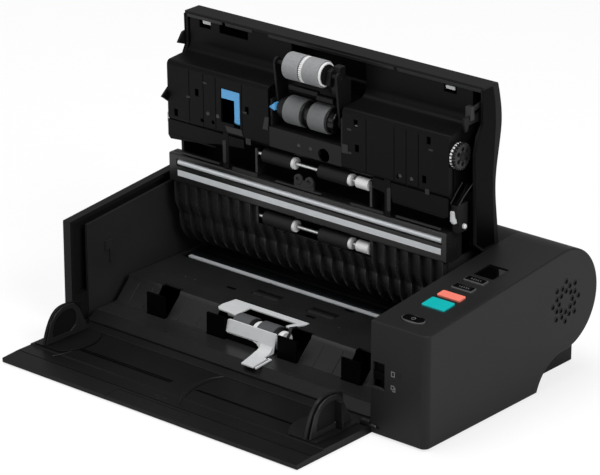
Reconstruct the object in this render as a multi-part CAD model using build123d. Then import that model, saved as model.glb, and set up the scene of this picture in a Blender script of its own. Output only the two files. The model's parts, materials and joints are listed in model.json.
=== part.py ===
from build123d import *
import math
import os

# Desktop sheet-fed scanner, drawn as it stands with its tray lowered and its cover raised.
# Working frame, millimetres: X to the right along the width, Y from the front face to the rear,
# Z up from the table. Every piece is moved at the end so that the origin is the middle of the
# footprint. Pieces of the upper unit are drawn closed and are then swung open about their hinge.

# Whole body
BODY_W = 424.0
BODY_D = 245.2
FRONT_H = 105.5
FOOT_H = 1.5
ROUND_R = 47.9
ROUND_Z = 76.9
WALL = 2.4
CORNER_R = 6.5
EDGE_R = 1.6

# Clearances
SEAT = 0.1
SLIDE = 0.3
MOVE = 0.6
RUN = 0.05

# Side parts
LEFT_T = 10.0
LEFT_SKIN = 2.5
LEFT_RIM = 4.0
LINER_T = 3.0
LINER_Y = 19.0
LINER_TOP_DROP = 9.0
POCKET_Z = 32.0
HOUSING_W = 60.0
FRAME_T = 2.0

# Places that follow from the body's size
RIGHT_X = BODY_W / 2
LEFT_X = -BODY_W / 2
LEFT_IN = LEFT_X + LEFT_T
LINER_X = LEFT_IN + LINER_T
HOUSING_X = RIGHT_X - HOUSING_W
ROUND_Y = BODY_D - ROUND_R
NOTCH_Y = ROUND_Y - 38.7
CENTRE_X = (LEFT_IN + HOUSING_X) / 2 - 0.5
HINGE_Y = ROUND_Y - 18.5
HINGE_Z = ROUND_Z + 19.85
LINER_END_Y = ROUND_Y + 8.7

# Places of the rollers along the path
NIP_R = 6.7
RETARD_R = 13.0
FEED_R = 13.0
FEED_LEAD = 1.8
RECESS_LIFT = 8.5
TAIL_GAP = 0.8
RETARD_Y = ROUND_Y * 0.297516
FEED_Y = RETARD_Y + FEED_LEAD
REG_Y = ROUND_Y * 0.54992
EXIT_Y = HINGE_Y - 9.3
FACE_TAIL_Y = REG_Y - NIP_R - TAIL_GAP
FACE_END_Y = FACE_TAIL_Y - 4.0
RC_FRONT_Y = RETARD_Y - RETARD_R - 2.5

# Catch for the cover latch
CATCH_Y = 41.0
CATCH_D = 10.0
CATCH_Z = 54.0
CATCH_H = 22.0
CATCH_PROUD = 2.0
CATCH_SLOT_D = 6.0
CATCH_SLOT_H = 13.0

# Paper path
PATH_Z = 39.0
BED_DROP = 0.7
FACE_GAP = 1.2
PLATE_T = 2.0
TURN_R = 40.0
TURN_T = 1.6
NOSE_R = 30.0
NOSE_CORE_R = 25.0

# Chassis and lower bed
FLOOR_T = 2.5
FLOOR_Y = 9.5
FLOOR_END_Y = ROUND_Y + 2.2
BED_X0 = LINER_X + 9.0
BED_X1 = HOUSING_X - 4.0
BED_FRONT_Y = 8.5
BED_FRONT_Z = 11.0
LEDGE_Y = 19.0
LEDGE_Z = 17.5
RAMP_Y = RC_FRONT_Y + 2.8
RAMP_TOP_Y = RETARD_Y + 3.8
RAMP_TOP_Z = 34.0
CREST_Y = RAMP_TOP_Y + 2.0
BED_END_Y = ROUND_Y - 1.3
BED_END_DROP = 2.1

# Stoppers
STOP_CENTRE_X = CENTRE_X + 4.0
STOP_INNER = 42.2
STOP_OUTER = 116.0
STOP_W = 22.0
STOP_T = 2.3
STOP_TOP_Z = 38.0
STOP_SHAFT_R = 2.5
STOP_SHAFT_Y = RC_FRONT_Y + 2.3
STOP_SHAFT_Z = 11.5
STOP_SLOT_END_Y = RETARD_Y + 11.3

# Retard unit
RETARD_SINK = 0.4
RETARD_SHAFT_R = 3.0
RETARD_BORE_R = 9.0
RETARD_EAR_T = 2.0
RC_X0 = CENTRE_X - 48.5
RC_X1 = CENTRE_X + 39.5
RC_FRONT_X0 = CENTRE_X - 25.0
RC_FRONT_X1 = CENTRE_X + 30.5
RC_REAR_Y = RETARD_Y + 23.8
RC_STEP_Y = RC_REAR_Y - 11.0
RC_NOSE_Y = RC_FRONT_Y + 3.8
RC_DIP = 2.2
RC_T = 1.8
RC_WEB_T = 1.6
RC_LIP_Z = 19.2
RC_TONGUE_T = 2.4
RC_WINDOW_Y0 = RC_FRONT_Y + 4.6
RC_BAR_W = 5.5
RC_TONGUE_X0 = CENTRE_X + 19.0
RC_TONGUE_X1 = RC_X1
RC_TONGUE_NECK_X = CENTRE_X + 29.5
RC_TONGUE_Y = 9.5
RC_TONGUE_WIDE_Y = RC_FRONT_Y - 12.2
RC_PIN_R = 1.5
RC_PIN_L = 2.0
RC_PIN_DROP = 3.2
RC_HEEL_GAP = 1.6

# Rollers of the paper path
ROLLER_W = 19.0
ROLLER_PITCH = 29.0
NIP_W = 34.0
NIP_PITCH = 66.0
NIP_SHAFT_R = 2.0
NIP_STUB = 10.0
NIP_TAIL = 27.0
IDLER_R = 6.0
IDLER_W = 30.0
IDLER_SINK = 0.3
HUB_R = 5.6
HUB_T = 3.0
COUPLER_R = 5.4
COUPLER_L = 14.0
COUPLER_GAP = 9.0

# Lower scan unit
SCAN_X0 = BED_X0 + 4.0
SCAN_X1 = BED_X1 - 11.0
SCAN_Y0 = EXIT_Y - 38.5
SCAN_Y1 = SCAN_Y0 + 25.0
SCAN_DEPTH = 22.0
STRIP_Y = SCAN_Y0 + 6.0
STRIP_W = 4.0
STRIP_T = 1.9
GLASS_W = 13.0
GLASS_T = 1.6
BAR_X0 = SCAN_X0 + 6.0
BAR_X1 = SCAN_X1 - 6.0

# Rear of the body
SHELL_T = 2.5
SHELL_FRONT_Y = ROUND_Y - 16.7
GUIDE_FRONT_Y = ROUND_Y - 14.9
EXIT_TOP_Z = 47.0
FLAP_HINGE_Y = ROUND_Y + 1.2
FLAP_ROD_R = 1.5
CASING_X1 = RIGHT_X - 21.0
CASING_Y0 = ROUND_Y + 2.7
CASING_END_Y = BODY_D - 4.2
CASING_H = 29.0
CASING_SIDE_Y = ROUND_Y - 6.3
CASING_SIDE_H = 22.0

# Sockets at the rear
POWER_X = HOUSING_X + 20.0
USB_X = HOUSING_X - 16.0
SOCKET_Z = 13.0
SOCKET_W = 13.0
SOCKET_H = 11.0
SOCKET_L = 14.0
SOCKET_HOLE_W = 9.0
SOCKET_HOLE_H = 7.0
SOCKET_HOLE_L = 11.0

# Feet
FOOT_R = 8.0
FOOT_SINK = 1.0
FOOT_FRONT_Y = 24.0
FOOT_REAR_Y = NOTCH_Y - 8.6
FOOT_CASING_Y = CASING_END_Y - 15.0
FOOT_SIDE_X = RIGHT_X - 27.0
FOOT_CASING_X = HOUSING_X - 2.0

# Controls, measured along the sloping top from the front edge
CONTROL_X = RIGHT_X - HOUSING_W / 2
POWER_S = 19.5
POWER_W = 24.0
POWER_L = 12.5
START_S = 53.4
START_W = 24.5
START_L = 16.5
STOP_S = 71.6
STOP_KEY_W = 24.5
STOP_L = 10.0
KEY_W = 22.0
KEY_L = 9.0
KEY_S = 89.0
KEY_PITCH = 17.0
KEY_R = 1.5
BUTTON_PROUD = 1.4
BUTTON_TRAVEL = 1.0
BUTTON_FLANGE = 1.2
BUTTON_FLANGE_T = 1.2
BUTTON_STEM_L = 3.0
BUTTON_STEM_R = 2.5
BOARD_T = 1.6
DISPLAY_S = 128.0
DISPLAY_W = 22.0
DISPLAY_L = 24.0
DISPLAY_T = 1.2
DISPLAY_STEP = 1.0

# Path lever in the housing front
SLOT_X = HOUSING_X + 8.8
SLOT_W = 12.4
SLOT_Z0 = 46.0
SLOT_H = 23.0
LEVER_TRAVEL = 8.0
LEVER_KNOB_H = 8.0
LEVER_KNOB_D = 4.5
LEVER_PLATE_T = 1.5
LEVER_LAP = 1.6
NOTCH_W = 10.0
NOTCH_H = 3.0
NOTCH_Z = 7.0

# Speaker grille in the housing side
SPEAKER_Y = ROUND_Y + 0.7
SPEAKER_Z = ROUND_Z - 0.9
SPEAKER_R = 24.0
SPEAKER_T = 6.0
GRILLE_HOLE_R = 2.0
GRILLE_RADII = (9.8, 14.4, 19.0)
GRILLE_COUNT = 8

# Motor
MOTOR_R = 18.0
MOTOR_L = 38.0
MOTOR_Y = 110.0
MOTOR_Z = 40.0
MOTOR_SHAFT_R = 2.5
PULLEY_R = 7.0
PULLEY_T = 7.0

# Cover and its hinge
COVER_SWING = 89.0
COVER_X0 = LINER_X + 3.0
COVER_X1 = HOUSING_X - 1.0
COVER_FRONT = 2.2
COVER_SKIN = 2.4
COVER_SIDE_T = 3.0
COVER_END_Y = HINGE_Y - 20.8
LIP_Z = PATH_Z + 2 * FEED_R + RECESS_LIFT - 0.5
LIP_R = 5.0
SIDE_Z = LIP_Z - 11.0
SIDE_STEP_Y = 36.0
SIDE_RAMP_Y = 45.0
SIDE_RAMP_H = 4.0
SIDE_LOW_Y = 60.0
SIDE_END_D = 12.0
SIDE_END_H = 16.0
EAR_R = 9.0
HINGE_PIN_R = 4.0
COVER_DROP = 12.0
COVER_TOP = (
    (COVER_FRONT, FRONT_H - COVER_DROP), (20.0, FRONT_H - 7.8), (37.0, FRONT_H - 6.0), (60.0,
                                                                                        FRONT_H - 8.8),
    (COVER_END_Y - 63.0, HINGE_Z - 5.15), (COVER_END_Y - 33.0, HINGE_Z - 2.95), (COVER_END_Y,
                                                                                 HINGE_Z + 0.05),
)

# Inner guide of the cover
GUIDE_X0 = COVER_X0 + 6.0
GUIDE_X1 = COVER_X1 - 12.0
GUIDE_Y0 = 4.9
RECESS_Z = PATH_Z + 2 * FEED_R + RECESS_LIFT
STEP_Y = 38.0
RIDGE_Y = 40.5
FACE_TAIL_RISE = 6.0
GUIDE_END_Z = FRONT_H - 17.1
STEP_R = 9.0
RIDGE_R = 4.5
BAY_X0 = CENTRE_X - 41.5
BAY_X1 = CENTRE_X + 45.5
BAY_Y0 = 6.5
BAY_Y1 = FEED_Y + 16.0
FINGER_W = 6.5
FINGER_LEFT = 93.5
FINGER_RIGHT = 96.5
FINGER_X = (CENTRE_X - FINGER_LEFT, CENTRE_X + FINGER_RIGHT)
PORT_X = GUIDE_X0 + 53.5
PORT_W = 35.0
PORT_Y = 9.7
PORT_L = 12.5
TAB_X = (GUIDE_X0 + 18.3, GUIDE_X1 - 24.7)
TAB_W = 14.0
TAB_L = 8.0
TAB_Y = 9.0
LEFT_SLOT_MARKS = ((36.5, 32.5), (10.0, 7.2), (97.5, 28.7))
RIGHT_SLOT_MARKS = ((103.9, 45.2), (102.5, 22.1), (22.2, 48.1), (27.0, 11.0))
SLOT_MARK_W = 4.5
SLOT_MARK_L = 7.0
LEFT_HOLE_MARKS = ((42.3, 6.7), (55.9, 7.8))
RIGHT_HOLE_MARKS = ((56.0, 6.9), (41.4, 7.6))
HOLE_MARK_R = 2.0
LEFT_GROOVES = (27.0, 44.5, 59.5, 91.5)
RIGHT_GROOVES = (92.0, 60.5, 47.0, 33.5)
GROOVE_W = 0.8
GROOVE_T = 0.5
TOOTH_X = 2.5
TOOTH_Y = FACE_END_Y - 22.0
TOOTH_W = 14.0
TOOTH_H = 9.0

# Latch
LATCH_Y = 30.0
LATCH_Z = RECESS_Z + 7.5
LATCH_ROD_R = 2.5
LATCH_HOOK_T = 2.2
LATCH_HOOK_W = 8.0
LATCH_TIP_Z = 53.0
LATCH_NOSE_Y = 39.0
LATCH_NOSE_H = 5.0
LATCH_RIGHT_X = GUIDE_X1 + 4.5

# Feed roller, pickup arm and bracket
FEED_BORE_R = 9.0
FEED_SHAFT_R = 3.0
FEED_HUB_OUT = 9.5
FEED_GEAR_R = 12.2
FEED_GEAR_T = 5.5
FEED_GEAR_TEETH = 24
GEAR_TOOTH_H = 1.6
GEAR_SPOKES = 6
BRACKET_T = 2.0
BRACKET_X0 = BAY_X0 + 1.0
BRACKET_X1 = BAY_X1 - 1.5
BRACKET_PLATE_Y0 = BAY_Y1 + 1.0
BRACKET_PLATE_Y1 = FACE_END_Y - 0.5
BRACKET_LAP = 5.0
BRACKET_HOLE_X = CENTRE_X + 23.5
BRACKET_HOLE_Y = BRACKET_PLATE_Y1 - 3.5
BRACKET_HOLE_R = 6.5
PICKUP_Y = 16.7
PICKUP_Z = 47.3
PICKUP_R = 12.5
PICKUP_BORE_R = 9.5
PICKUP_W = 17.6
PICKUP_PITCH = 23.0
PICKUP_SHAFT_R = 2.0
ARM_T = 2.5
ARM_W = 9.0
ARM_GAP = 1.2
ARM_PLATE_Y0 = 22.0
ARM_PLATE_Y1 = FEED_Y - 16.5

# Release lever
RELEASE_REACH = 98.0
RELEASE_X0 = CENTRE_X - RELEASE_REACH
RELEASE_X1 = RELEASE_X0 + 22.0
RELEASE_Y0 = FACE_END_Y - 43.0
RELEASE_BAR_L = 9.0
RELEASE_LEG_W = 6.5
RELEASE_LEG_L = 21.0
RELEASE_T = 2.6
RELEASE_PIN_R = 1.5
RELEASE_HEEL = 4.4

# Upper scan box
BOX_X0 = GUIDE_X0
BOX_X1 = GUIDE_X1 - 2.0
BOX_Y0 = SCAN_Y0
BOX_Y1 = BOX_Y0 + 28.0
BOX_H = 22.0
BOX_R = 3.0
UPPER_STRIP_Y = BOX_Y0 + 18.2
UPPER_STRIP_W = 5.9
UPPER_STRIP_T = 1.8
PLATEN_Y = BOX_Y0 + 8.1
PLATEN_R = 2.9
PLATEN_END_R = 1.5
ARM_POST_T = 2.5
ARM_POST_H = 10.0
BEARING_LAND = 4.0

# Turn guide of the cover
NOSE_X0 = GUIDE_X0 + 2.0
NOSE_X1 = GUIDE_X1 - 4.0
RIB_COUNT = 25
RIB_T = 1.6
RIB_MARGIN = 3.0

# Tray
TRAY_X0 = COVER_X0
TRAY_X1 = COVER_X1 + 0.5
TRAY_FRONT_Y = -97.0
TRAY_REAR_Y = 3.0
TRAY_LIP_Y = 6.2
TRAY_LIP_T = 2.0
TRAY_Z0 = 0.5
TRAY_TOP = 7.5
TRAY_FRONT_TOP = 6.5
TRAY_EDGE_TOP = 5.2
TRAY_STEP_Y = -60.5
TRAY_BORDER_Y = -77.0
TRAY_SKIN = 1.8
TRAY_FLOOR_T = 1.2
TRAY_WALL = 2.5
TRAY_HINGE_Y = 2.0
TRAY_HINGE_Z = 8.0
TRAY_PIN_R = 1.5
TRAY_PIN_L = 5.0
TRAY_KNUCKLE_R = 4.8
TRAY_KNUCKLE_L = 9.0
SEAM_W = 0.9
SEAM_T = 0.7
ARC_X = CENTRE_X + 9.0
ARC_R = 62.0

# Paper guides
GUIDE_INSET = 23.5
GUIDE_HALF = (HOUSING_X - LEFT_IN) / 2 - GUIDE_INSET
GUIDE_TRAVEL = GUIDE_HALF - 43.5
FIN_T = 3.0
FIN_H = 33.5
FIN_FRONT_Y = -60.0
FIN_REAR_Y = -3.5
FIN_FLANGE = 10.0
FIN_GUSSET_T = 2.4
FIN_GUSSET_Y = -25.0
BASE_T = 1.5
BASE_REACH = 29.0
BASE_FRONT_Y = -59.5
RACK_Y = 9.0
RACK_W = 4.0
RACK_T = 1.8
RACK_LIFT = 3.2
RACK_LINE_Y = -39.5
RACK_STEM_IN = 25.0
RACK_STEM_W = 6.0
RACK_SLOT_W = 2.0
RACK_OVERRUN = 6.0
MODULE = 1.0
PINION_PIN_R = 2.5
TOOTH_BACKLASH = 0.45

# Tray extension
EXT_W = 86.0
EXT_BAR_L = 16.0
EXT_PLATE_T = 1.2
EXT_PLATE_END_Y = -28.0

# Derived places
BASE_Z = FOOT_H
FLOOR_Z = BASE_Z + FLOOR_T
BED_Z = PATH_Z - BED_DROP
FACE_Z = PATH_Z + FACE_GAP
FEED_Z = PATH_Z + FEED_R
RETARD_Z = PATH_Z - RETARD_SINK - RETARD_R
NIP_Z = PATH_Z + NIP_R
IDLER_Z = PATH_Z - IDLER_SINK - IDLER_R
SPAN_X0 = LINER_X + SEAT
SPAN_X1 = HOUSING_X - SEAT
TOP_DIST = math.hypot(ROUND_Y, FRONT_H - ROUND_Z)
TOP_ANGLE = math.asin(ROUND_R / TOP_DIST) - math.atan2(FRONT_H - ROUND_Z, ROUND_Y)
FOOTPRINT_SHIFT_Y = -(TRAY_FRONT_Y + BODY_D) / 2


def top_z(y):
    return FRONT_H + y * math.tan(TOP_ANGLE)


def block(x0, x1, y0, y1, z0, z1):
    return Pos((x0 + x1) / 2, (y0 + y1) / 2, (z0 + z1) / 2) * Box(x1 - x0, y1 - y0, z1 - z0)


def rod(x0, x1, y, z, r):
    return Pos((x0 + x1) / 2, y, z) * Rot(0, 90, 0) * Cylinder(r, x1 - x0)


def ring(x0, x1, y, z, r_out, r_in):
    return rod(x0, x1, y, z, r_out) - rod(x0 - 1, x1 + 1, y, z, r_in)


def slab(face, x0, x1):
    return extrude(Plane.YZ.offset(x0) * face, amount=x1 - x0)


def polygon(*points):
    return make_face(Polyline(*points, close=True))


def rounded(points, radii):
    return make_face(FilletPolyline(*points, radius=radii, close=True))


def disc(y, z, r):
    return Pos(y, z) * Circle(r)


def post(x0, x1, y, z, half_w, z0, bore_r, land=BEARING_LAND):
    """Upright plate from z0 to just above a bore along X."""
    return block(x0, x1, y - half_w, y + half_w, z0, z + land) - rod(x0 - 1, x1 + 1, y, z, bore_r)


def swung(part, axis_y, axis_z, degrees):
    return part.rotate(Axis((0, axis_y, axis_z), (1, 0, 0)), degrees)


def opened(part):
    return swung(part, HINGE_Y, HINGE_Z, -COVER_SWING)


# Side outline of the body

def side_outline():
    """Flat bottom, notch, round rear and sloping top, in the YZ plane."""
    tangent = (ROUND_Y - ROUND_R * math.sin(TOP_ANGLE), ROUND_Z + ROUND_R * math.cos(TOP_ANGLE))
    low = (ROUND_Y, ROUND_Z - ROUND_R)
    bottom = Line((0, BASE_Z), (NOTCH_Y, BASE_Z))
    notch = TangentArc(low, (NOTCH_Y, BASE_Z), tangent=(-1, 0))
    back = ThreePointArc(low, (ROUND_Y + ROUND_R, ROUND_Z), tangent)
    top = Line(tangent, (0, FRONT_H))
    front = Line((0, FRONT_H), (0, BASE_Z))
    return make_face(bottom + notch + back + top + front)


def inner_outline(inset):
    """The same outline moved inwards, without the notch's curve."""
    r = ROUND_R - inset
    tangent = (ROUND_Y - r * math.sin(TOP_ANGLE), ROUND_Z + r * math.cos(TOP_ANGLE))
    low_z = ROUND_Z - r
    top_front = FRONT_H - inset / math.cos(TOP_ANGLE) + inset * math.tan(TOP_ANGLE)
    knee = NOTCH_Y - low_z / 4
    flat = Polyline((ROUND_Y, low_z), (knee + low_z / 2, low_z), (knee, BASE_Z + inset),
                    (inset, BASE_Z + inset),
                    (inset, top_front), tangent)
    back = ThreePointArc((ROUND_Y, low_z), (ROUND_Y + r, ROUND_Z), tangent)
    return make_face(flat + back)


# Controls on the sloping top

def top_plane():
    return Plane(origin=(0, 0, FRONT_H), x_dir=(1, 0, 0),
                 z_dir=(0, -math.sin(TOP_ANGLE), math.cos(TOP_ANGLE)))


def on_top(x, s, face, z0, z1):
    """Prism of a face drawn in the sloping top, from depth z0 to height z1."""
    return top_plane() * Pos(x, s, z0) * extrude(face, amount=z1 - z0)


def key_face(w, length, r, grow=0.0):
    return RectangleRounded(w + 2 * grow, length + 2 * grow, r + grow)


def power_face(grow=0.0):
    return Ellipse(POWER_W / 2 + grow, POWER_L / 2 + grow)


def button(face, wide_face, s):
    cap = on_top(CONTROL_X, s, face, -WALL, BUTTON_PROUD)
    flange = on_top(CONTROL_X, s, wide_face, -WALL - SLIDE - BUTTON_FLANGE_T, -WALL - SLIDE)
    neck = on_top(CONTROL_X, s, face, -WALL - SLIDE, -WALL)
    stem_top = -WALL - SLIDE - BUTTON_FLANGE_T
    stem = on_top(CONTROL_X, s, Circle(BUTTON_STEM_R), stem_top - BUTTON_STEM_L, stem_top)
    return cap + neck + flange + stem


def key_button(w, length, s):
    return button(key_face(w, length, KEY_R), key_face(w, length, KEY_R, BUTTON_FLANGE), s)


def power_button():
    return button(power_face(), power_face(BUTTON_FLANGE), POWER_S)


def start_button():
    return key_button(START_W, START_L, START_S)


def stop_button():
    return key_button(STOP_KEY_W, STOP_L, STOP_S)


def mode_key(index):
    return key_button(KEY_W, KEY_L, KEY_S + index * KEY_PITCH)


def control_holes():
    deep = -2 * WALL
    high = WALL
    cut = on_top(CONTROL_X, POWER_S, power_face(SLIDE), deep, high)
    for w, length, s in ((START_W, START_L, START_S), (STOP_KEY_W, STOP_L, STOP_S),
                         (KEY_W, KEY_L, KEY_S), (KEY_W, KEY_L, KEY_S + KEY_PITCH)):
        cut += on_top(CONTROL_X, s, key_face(w, length, KEY_R, SLIDE), deep, high)
    display = key_face(DISPLAY_W, DISPLAY_L, KEY_R, SEAT)
    cut += on_top(CONTROL_X, DISPLAY_S, display, -DISPLAY_STEP - DISPLAY_T, high)
    return cut


def display_window():
    low = -DISPLAY_STEP - DISPLAY_T
    return on_top(CONTROL_X, DISPLAY_S, key_face(DISPLAY_W, DISPLAY_L, KEY_R), low, low + DISPLAY_T)


def board_depth():
    """Depth of the board's upper face, which a pressed stem stops short of."""
    return WALL + SLIDE + BUTTON_FLANGE_T + BUTTON_STEM_L + BUTTON_TRAVEL + SLIDE


def main_board():
    s0 = POWER_S - POWER_L
    s1 = DISPLAY_S + DISPLAY_L / 2
    depth = board_depth()
    x0 = HOUSING_X + SLIDE + FRAME_T
    x1 = RIGHT_X - WALL - MOVE
    plate = Pos((x0 + x1) / 2 - CONTROL_X, 0) * Rectangle(x1 - x0, s1 - s0)
    return on_top(CONTROL_X, (s0 + s1) / 2, plate, -depth - BOARD_T, -depth)


# Right housing

def grille():
    cut = None
    for ring, radius in enumerate(GRILLE_RADII):
        for i in range(GRILLE_COUNT):
            angle = math.tau * (i + 0.5 * (ring % 2)) / GRILLE_COUNT
            hole = rod(RIGHT_X - 2 * WALL, RIGHT_X + 1, SPEAKER_Y + radius * math.cos(angle),
                       SPEAKER_Z + radius * math.sin(angle), GRILLE_HOLE_R)
            cut = hole if cut is None else cut + hole
    return cut


def right_housing():
    body = slab(side_outline(), HOUSING_X, RIGHT_X)
    corner = body.edges().filter_by(Axis.Z).sort_by(Axis.X)[-1]
    body = fillet(corner, CORNER_R)
    rim = body.faces().sort_by(Axis.X)[-1].edges()
    body = fillet(rim, EDGE_R)
    body -= slab(inner_outline(WALL), HOUSING_X - 1, RIGHT_X - WALL)
    body -= control_holes()
    body -= block(SLOT_X - SLOT_W / 2, SLOT_X + SLOT_W / 2, -1, WALL + 1, SLOT_Z0, SLOT_Z0 + SLOT_H)
    body -= block(HOUSING_X - 1, HOUSING_X + NOTCH_W, -1, WALL / 2, NOTCH_Z, NOTCH_Z + NOTCH_H)
    body -= grille()
    body -= rod(HOUSING_X - 1, HOUSING_X + TRAY_PIN_L + SEAT, TRAY_HINGE_Y, TRAY_HINGE_Z, TRAY_PIN_R + RUN)
    return body


def right_inner_frame():
    """Plate that closes the housing towards the paper path and carries hinge and latch."""
    x0 = HOUSING_X
    x1 = x0 + FRAME_T
    plate = slab(inner_outline(WALL + SEAT), x0, x1)
    plate -= rod(x0 - 1, x1 + 1, HINGE_Y, HINGE_Z, HINGE_PIN_R + RUN)
    plate -= rod(x0 - 1, x1 + 1, TRAY_HINGE_Y, TRAY_HINGE_Z, TRAY_PIN_R + RUN)
    plate -= rod(x0 - 1, x1 + 1, FLAP_HINGE_Y, flap_hinge_z(), FLAP_ROD_R + RUN)
    catch = block(x0 - CATCH_PROUD * 3, x0, CATCH_Y, CATCH_Y + CATCH_D, CATCH_Z - CATCH_SLOT_H, CATCH_Z)
    return plate + catch


def speaker():
    x1 = RIGHT_X - WALL - SEAT
    return rod(x1 - SPEAKER_T, x1, SPEAKER_Y, SPEAKER_Z, SPEAKER_R)


def drive_motor():
    x0 = HOUSING_X + FRAME_T + SEAT
    body = rod(x0, x0 + MOTOR_L, MOTOR_Y, MOTOR_Z, MOTOR_R)
    shaft = rod(x0 + MOTOR_L, x0 + MOTOR_L + PULLEY_T, MOTOR_Y, MOTOR_Z, MOTOR_SHAFT_R)
    pulley = rod(x0 + MOTOR_L + 1, x0 + MOTOR_L + PULLEY_T, MOTOR_Y, MOTOR_Z, PULLEY_R)
    return body + shaft + pulley


def lever_knob_z():
    return SLOT_Z0 + SLOT_H - LEVER_TRAVEL - LEVER_KNOB_H - SLIDE


def path_lever():
    half = SLOT_W / 2
    plate_y = WALL + SLIDE
    z0 = SLOT_Z0 - LEVER_LAP
    z1 = SLOT_Z0 + SLOT_H + LEVER_LAP
    plate = block(SLOT_X - half - LEVER_LAP / 4, SLOT_X + half + LEVER_LAP, plate_y,
                  plate_y + LEVER_PLATE_T,
                  z0 - LEVER_TRAVEL, z1)
    knob_z = lever_knob_z()
    knob = block(SLOT_X - half + SLIDE, SLOT_X + half - SLIDE, plate_y - LEVER_KNOB_D + WALL, plate_y,
                 knob_z, knob_z + LEVER_KNOB_H)
    return plate + knob


# Left side

def left_side_panel():
    body = slab(side_outline(), LEFT_X, LEFT_IN)
    rim = body.faces().sort_by(Axis.X)[0].edges()
    body = fillet(rim, EDGE_R)
    pocket = slab(inner_outline(LEFT_RIM), LEFT_X + LEFT_SKIN, LEFT_IN + 1)
    low = block(LEFT_X, LEFT_IN + 1, -1, BODY_D, 0, POCKET_Z)
    body -= rod(LEFT_IN - TRAY_PIN_L - SEAT, LEFT_IN + 1, TRAY_HINGE_Y, TRAY_HINGE_Z, TRAY_PIN_R + RUN)
    return body - (pocket - low)


def liner_outline():
    drop = LINER_TOP_DROP
    low = ROUND_Z - ROUND_R + LINER_T
    return polygon((LINER_Y, FLOOR_Z), (NOTCH_Y, FLOOR_Z), (NOTCH_Y + low / 2, low), (LINER_END_Y, low),
                   (LINER_END_Y, top_z(LINER_END_Y) - drop), (LINER_Y, top_z(LINER_Y) - drop))


def left_inner_frame():
    plate = slab(liner_outline(), LEFT_IN, LINER_X)
    catch = block(LINER_X, LINER_X + CATCH_PROUD, CATCH_Y, CATCH_Y + CATCH_D, CATCH_Z, CATCH_Z + CATCH_H)
    catch -= block(LINER_X, LINER_X + CATCH_PROUD + 1, CATCH_Y - 1, CATCH_Y + CATCH_SLOT_D,
                   CATCH_Z - 1, CATCH_Z + CATCH_SLOT_H)
    plate -= rod(LEFT_IN - 1, LINER_X + 1, HINGE_Y, HINGE_Z, HINGE_PIN_R + RUN)
    plate -= rod(LINER_X - FRAME_T - SEAT, LINER_X + 1, FLAP_HINGE_Y, flap_hinge_z(), FLAP_ROD_R + RUN)
    return plate + catch


# Chassis, bed and rear

def retard_ear_x():
    reach = ROLLER_PITCH / 2 + ROLLER_W / 2 + MOVE
    return (CENTRE_X - reach - RETARD_EAR_T, CENTRE_X + reach)


def idler_post_x():
    reach = NIP_PITCH / 2 + IDLER_W / 2 + MOVE
    return (CENTRE_X - reach - ARM_POST_T, CENTRE_X + reach)


def stop_post_x():
    return (STOP_CENTRE_X - STOP_OUTER + STOP_W, STOP_CENTRE_X + STOP_OUTER - STOP_W - RETARD_EAR_T)


def base_chassis():
    floor = block(LEFT_IN + SEAT, SPAN_X1, FLOOR_Y, FLOOR_END_Y, BASE_Z, FLOOR_Z)
    for x in retard_ear_x():
        floor += post(x, x + RETARD_EAR_T, RETARD_Y, RETARD_Z, RETARD_SHAFT_R * 2, FLOOR_Z,
                      RETARD_SHAFT_R + RUN)
    for x in idler_post_x():
        for y in (REG_Y, EXIT_Y):
            floor += post(x, x + ARM_POST_T, y, IDLER_Z, NIP_SHAFT_R * 2, FLOOR_Z, NIP_SHAFT_R + RUN,
                          NIP_SHAFT_R)
    for x in stop_post_x():
        floor += post(x, x + RETARD_EAR_T, STOP_SHAFT_Y, STOP_SHAFT_Z, STOP_SHAFT_R * 2, FLOOR_Z,
                      STOP_SHAFT_R + RUN, STOP_SHAFT_R + 1)
    beam_top = BED_Z - PLATE_T - SCAN_DEPTH
    for x in (SCAN_X0, CENTRE_X - PLATE_T, SCAN_X1 - 2 * PLATE_T):
        floor += block(x, x + 2 * PLATE_T, SCAN_Y0, SCAN_Y1, FLOOR_Z, beam_top)
    for x in (-FOOT_SIDE_X, FOOT_CASING_X - FOOT_R):
        for y in (FOOT_FRONT_Y, FOOT_REAR_Y):
            floor -= Pos(x, y, BASE_Z) * Cylinder(FOOT_R + SEAT, 2 * (FOOT_SINK + SEAT))
    return floor


def bed_line(drop):
    """Points of the bed's upper line, lowered by a distance."""
    return [(BED_FRONT_Y, BED_FRONT_Z - drop), (LEDGE_Y, LEDGE_Z - drop), (RAMP_Y, LEDGE_Z - drop),
            (RAMP_TOP_Y, RAMP_TOP_Z - drop), (CREST_Y, BED_Z - drop), (SCAN_Y1, BED_Z - drop),
            (BED_END_Y, PATH_Z - BED_END_DROP - drop)]


def bed_section():
    return polygon(*bed_line(0), *reversed(bed_line(PLATE_T)))


def bed_end():
    """End plate that carries the bed on the floor."""
    return polygon(*bed_line(PLATE_T / 2), (BED_END_Y, FLOOR_Z), (FLOOR_Y, FLOOR_Z))


def stop_x():
    return [STOP_CENTRE_X + s * d for s, d in ((-1, STOP_OUTER), (-1, STOP_INNER), (1, STOP_INNER),
                                               (1, STOP_OUTER))]


def nip_x():
    return (CENTRE_X - NIP_PITCH / 2, CENTRE_X + NIP_PITCH / 2)


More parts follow.
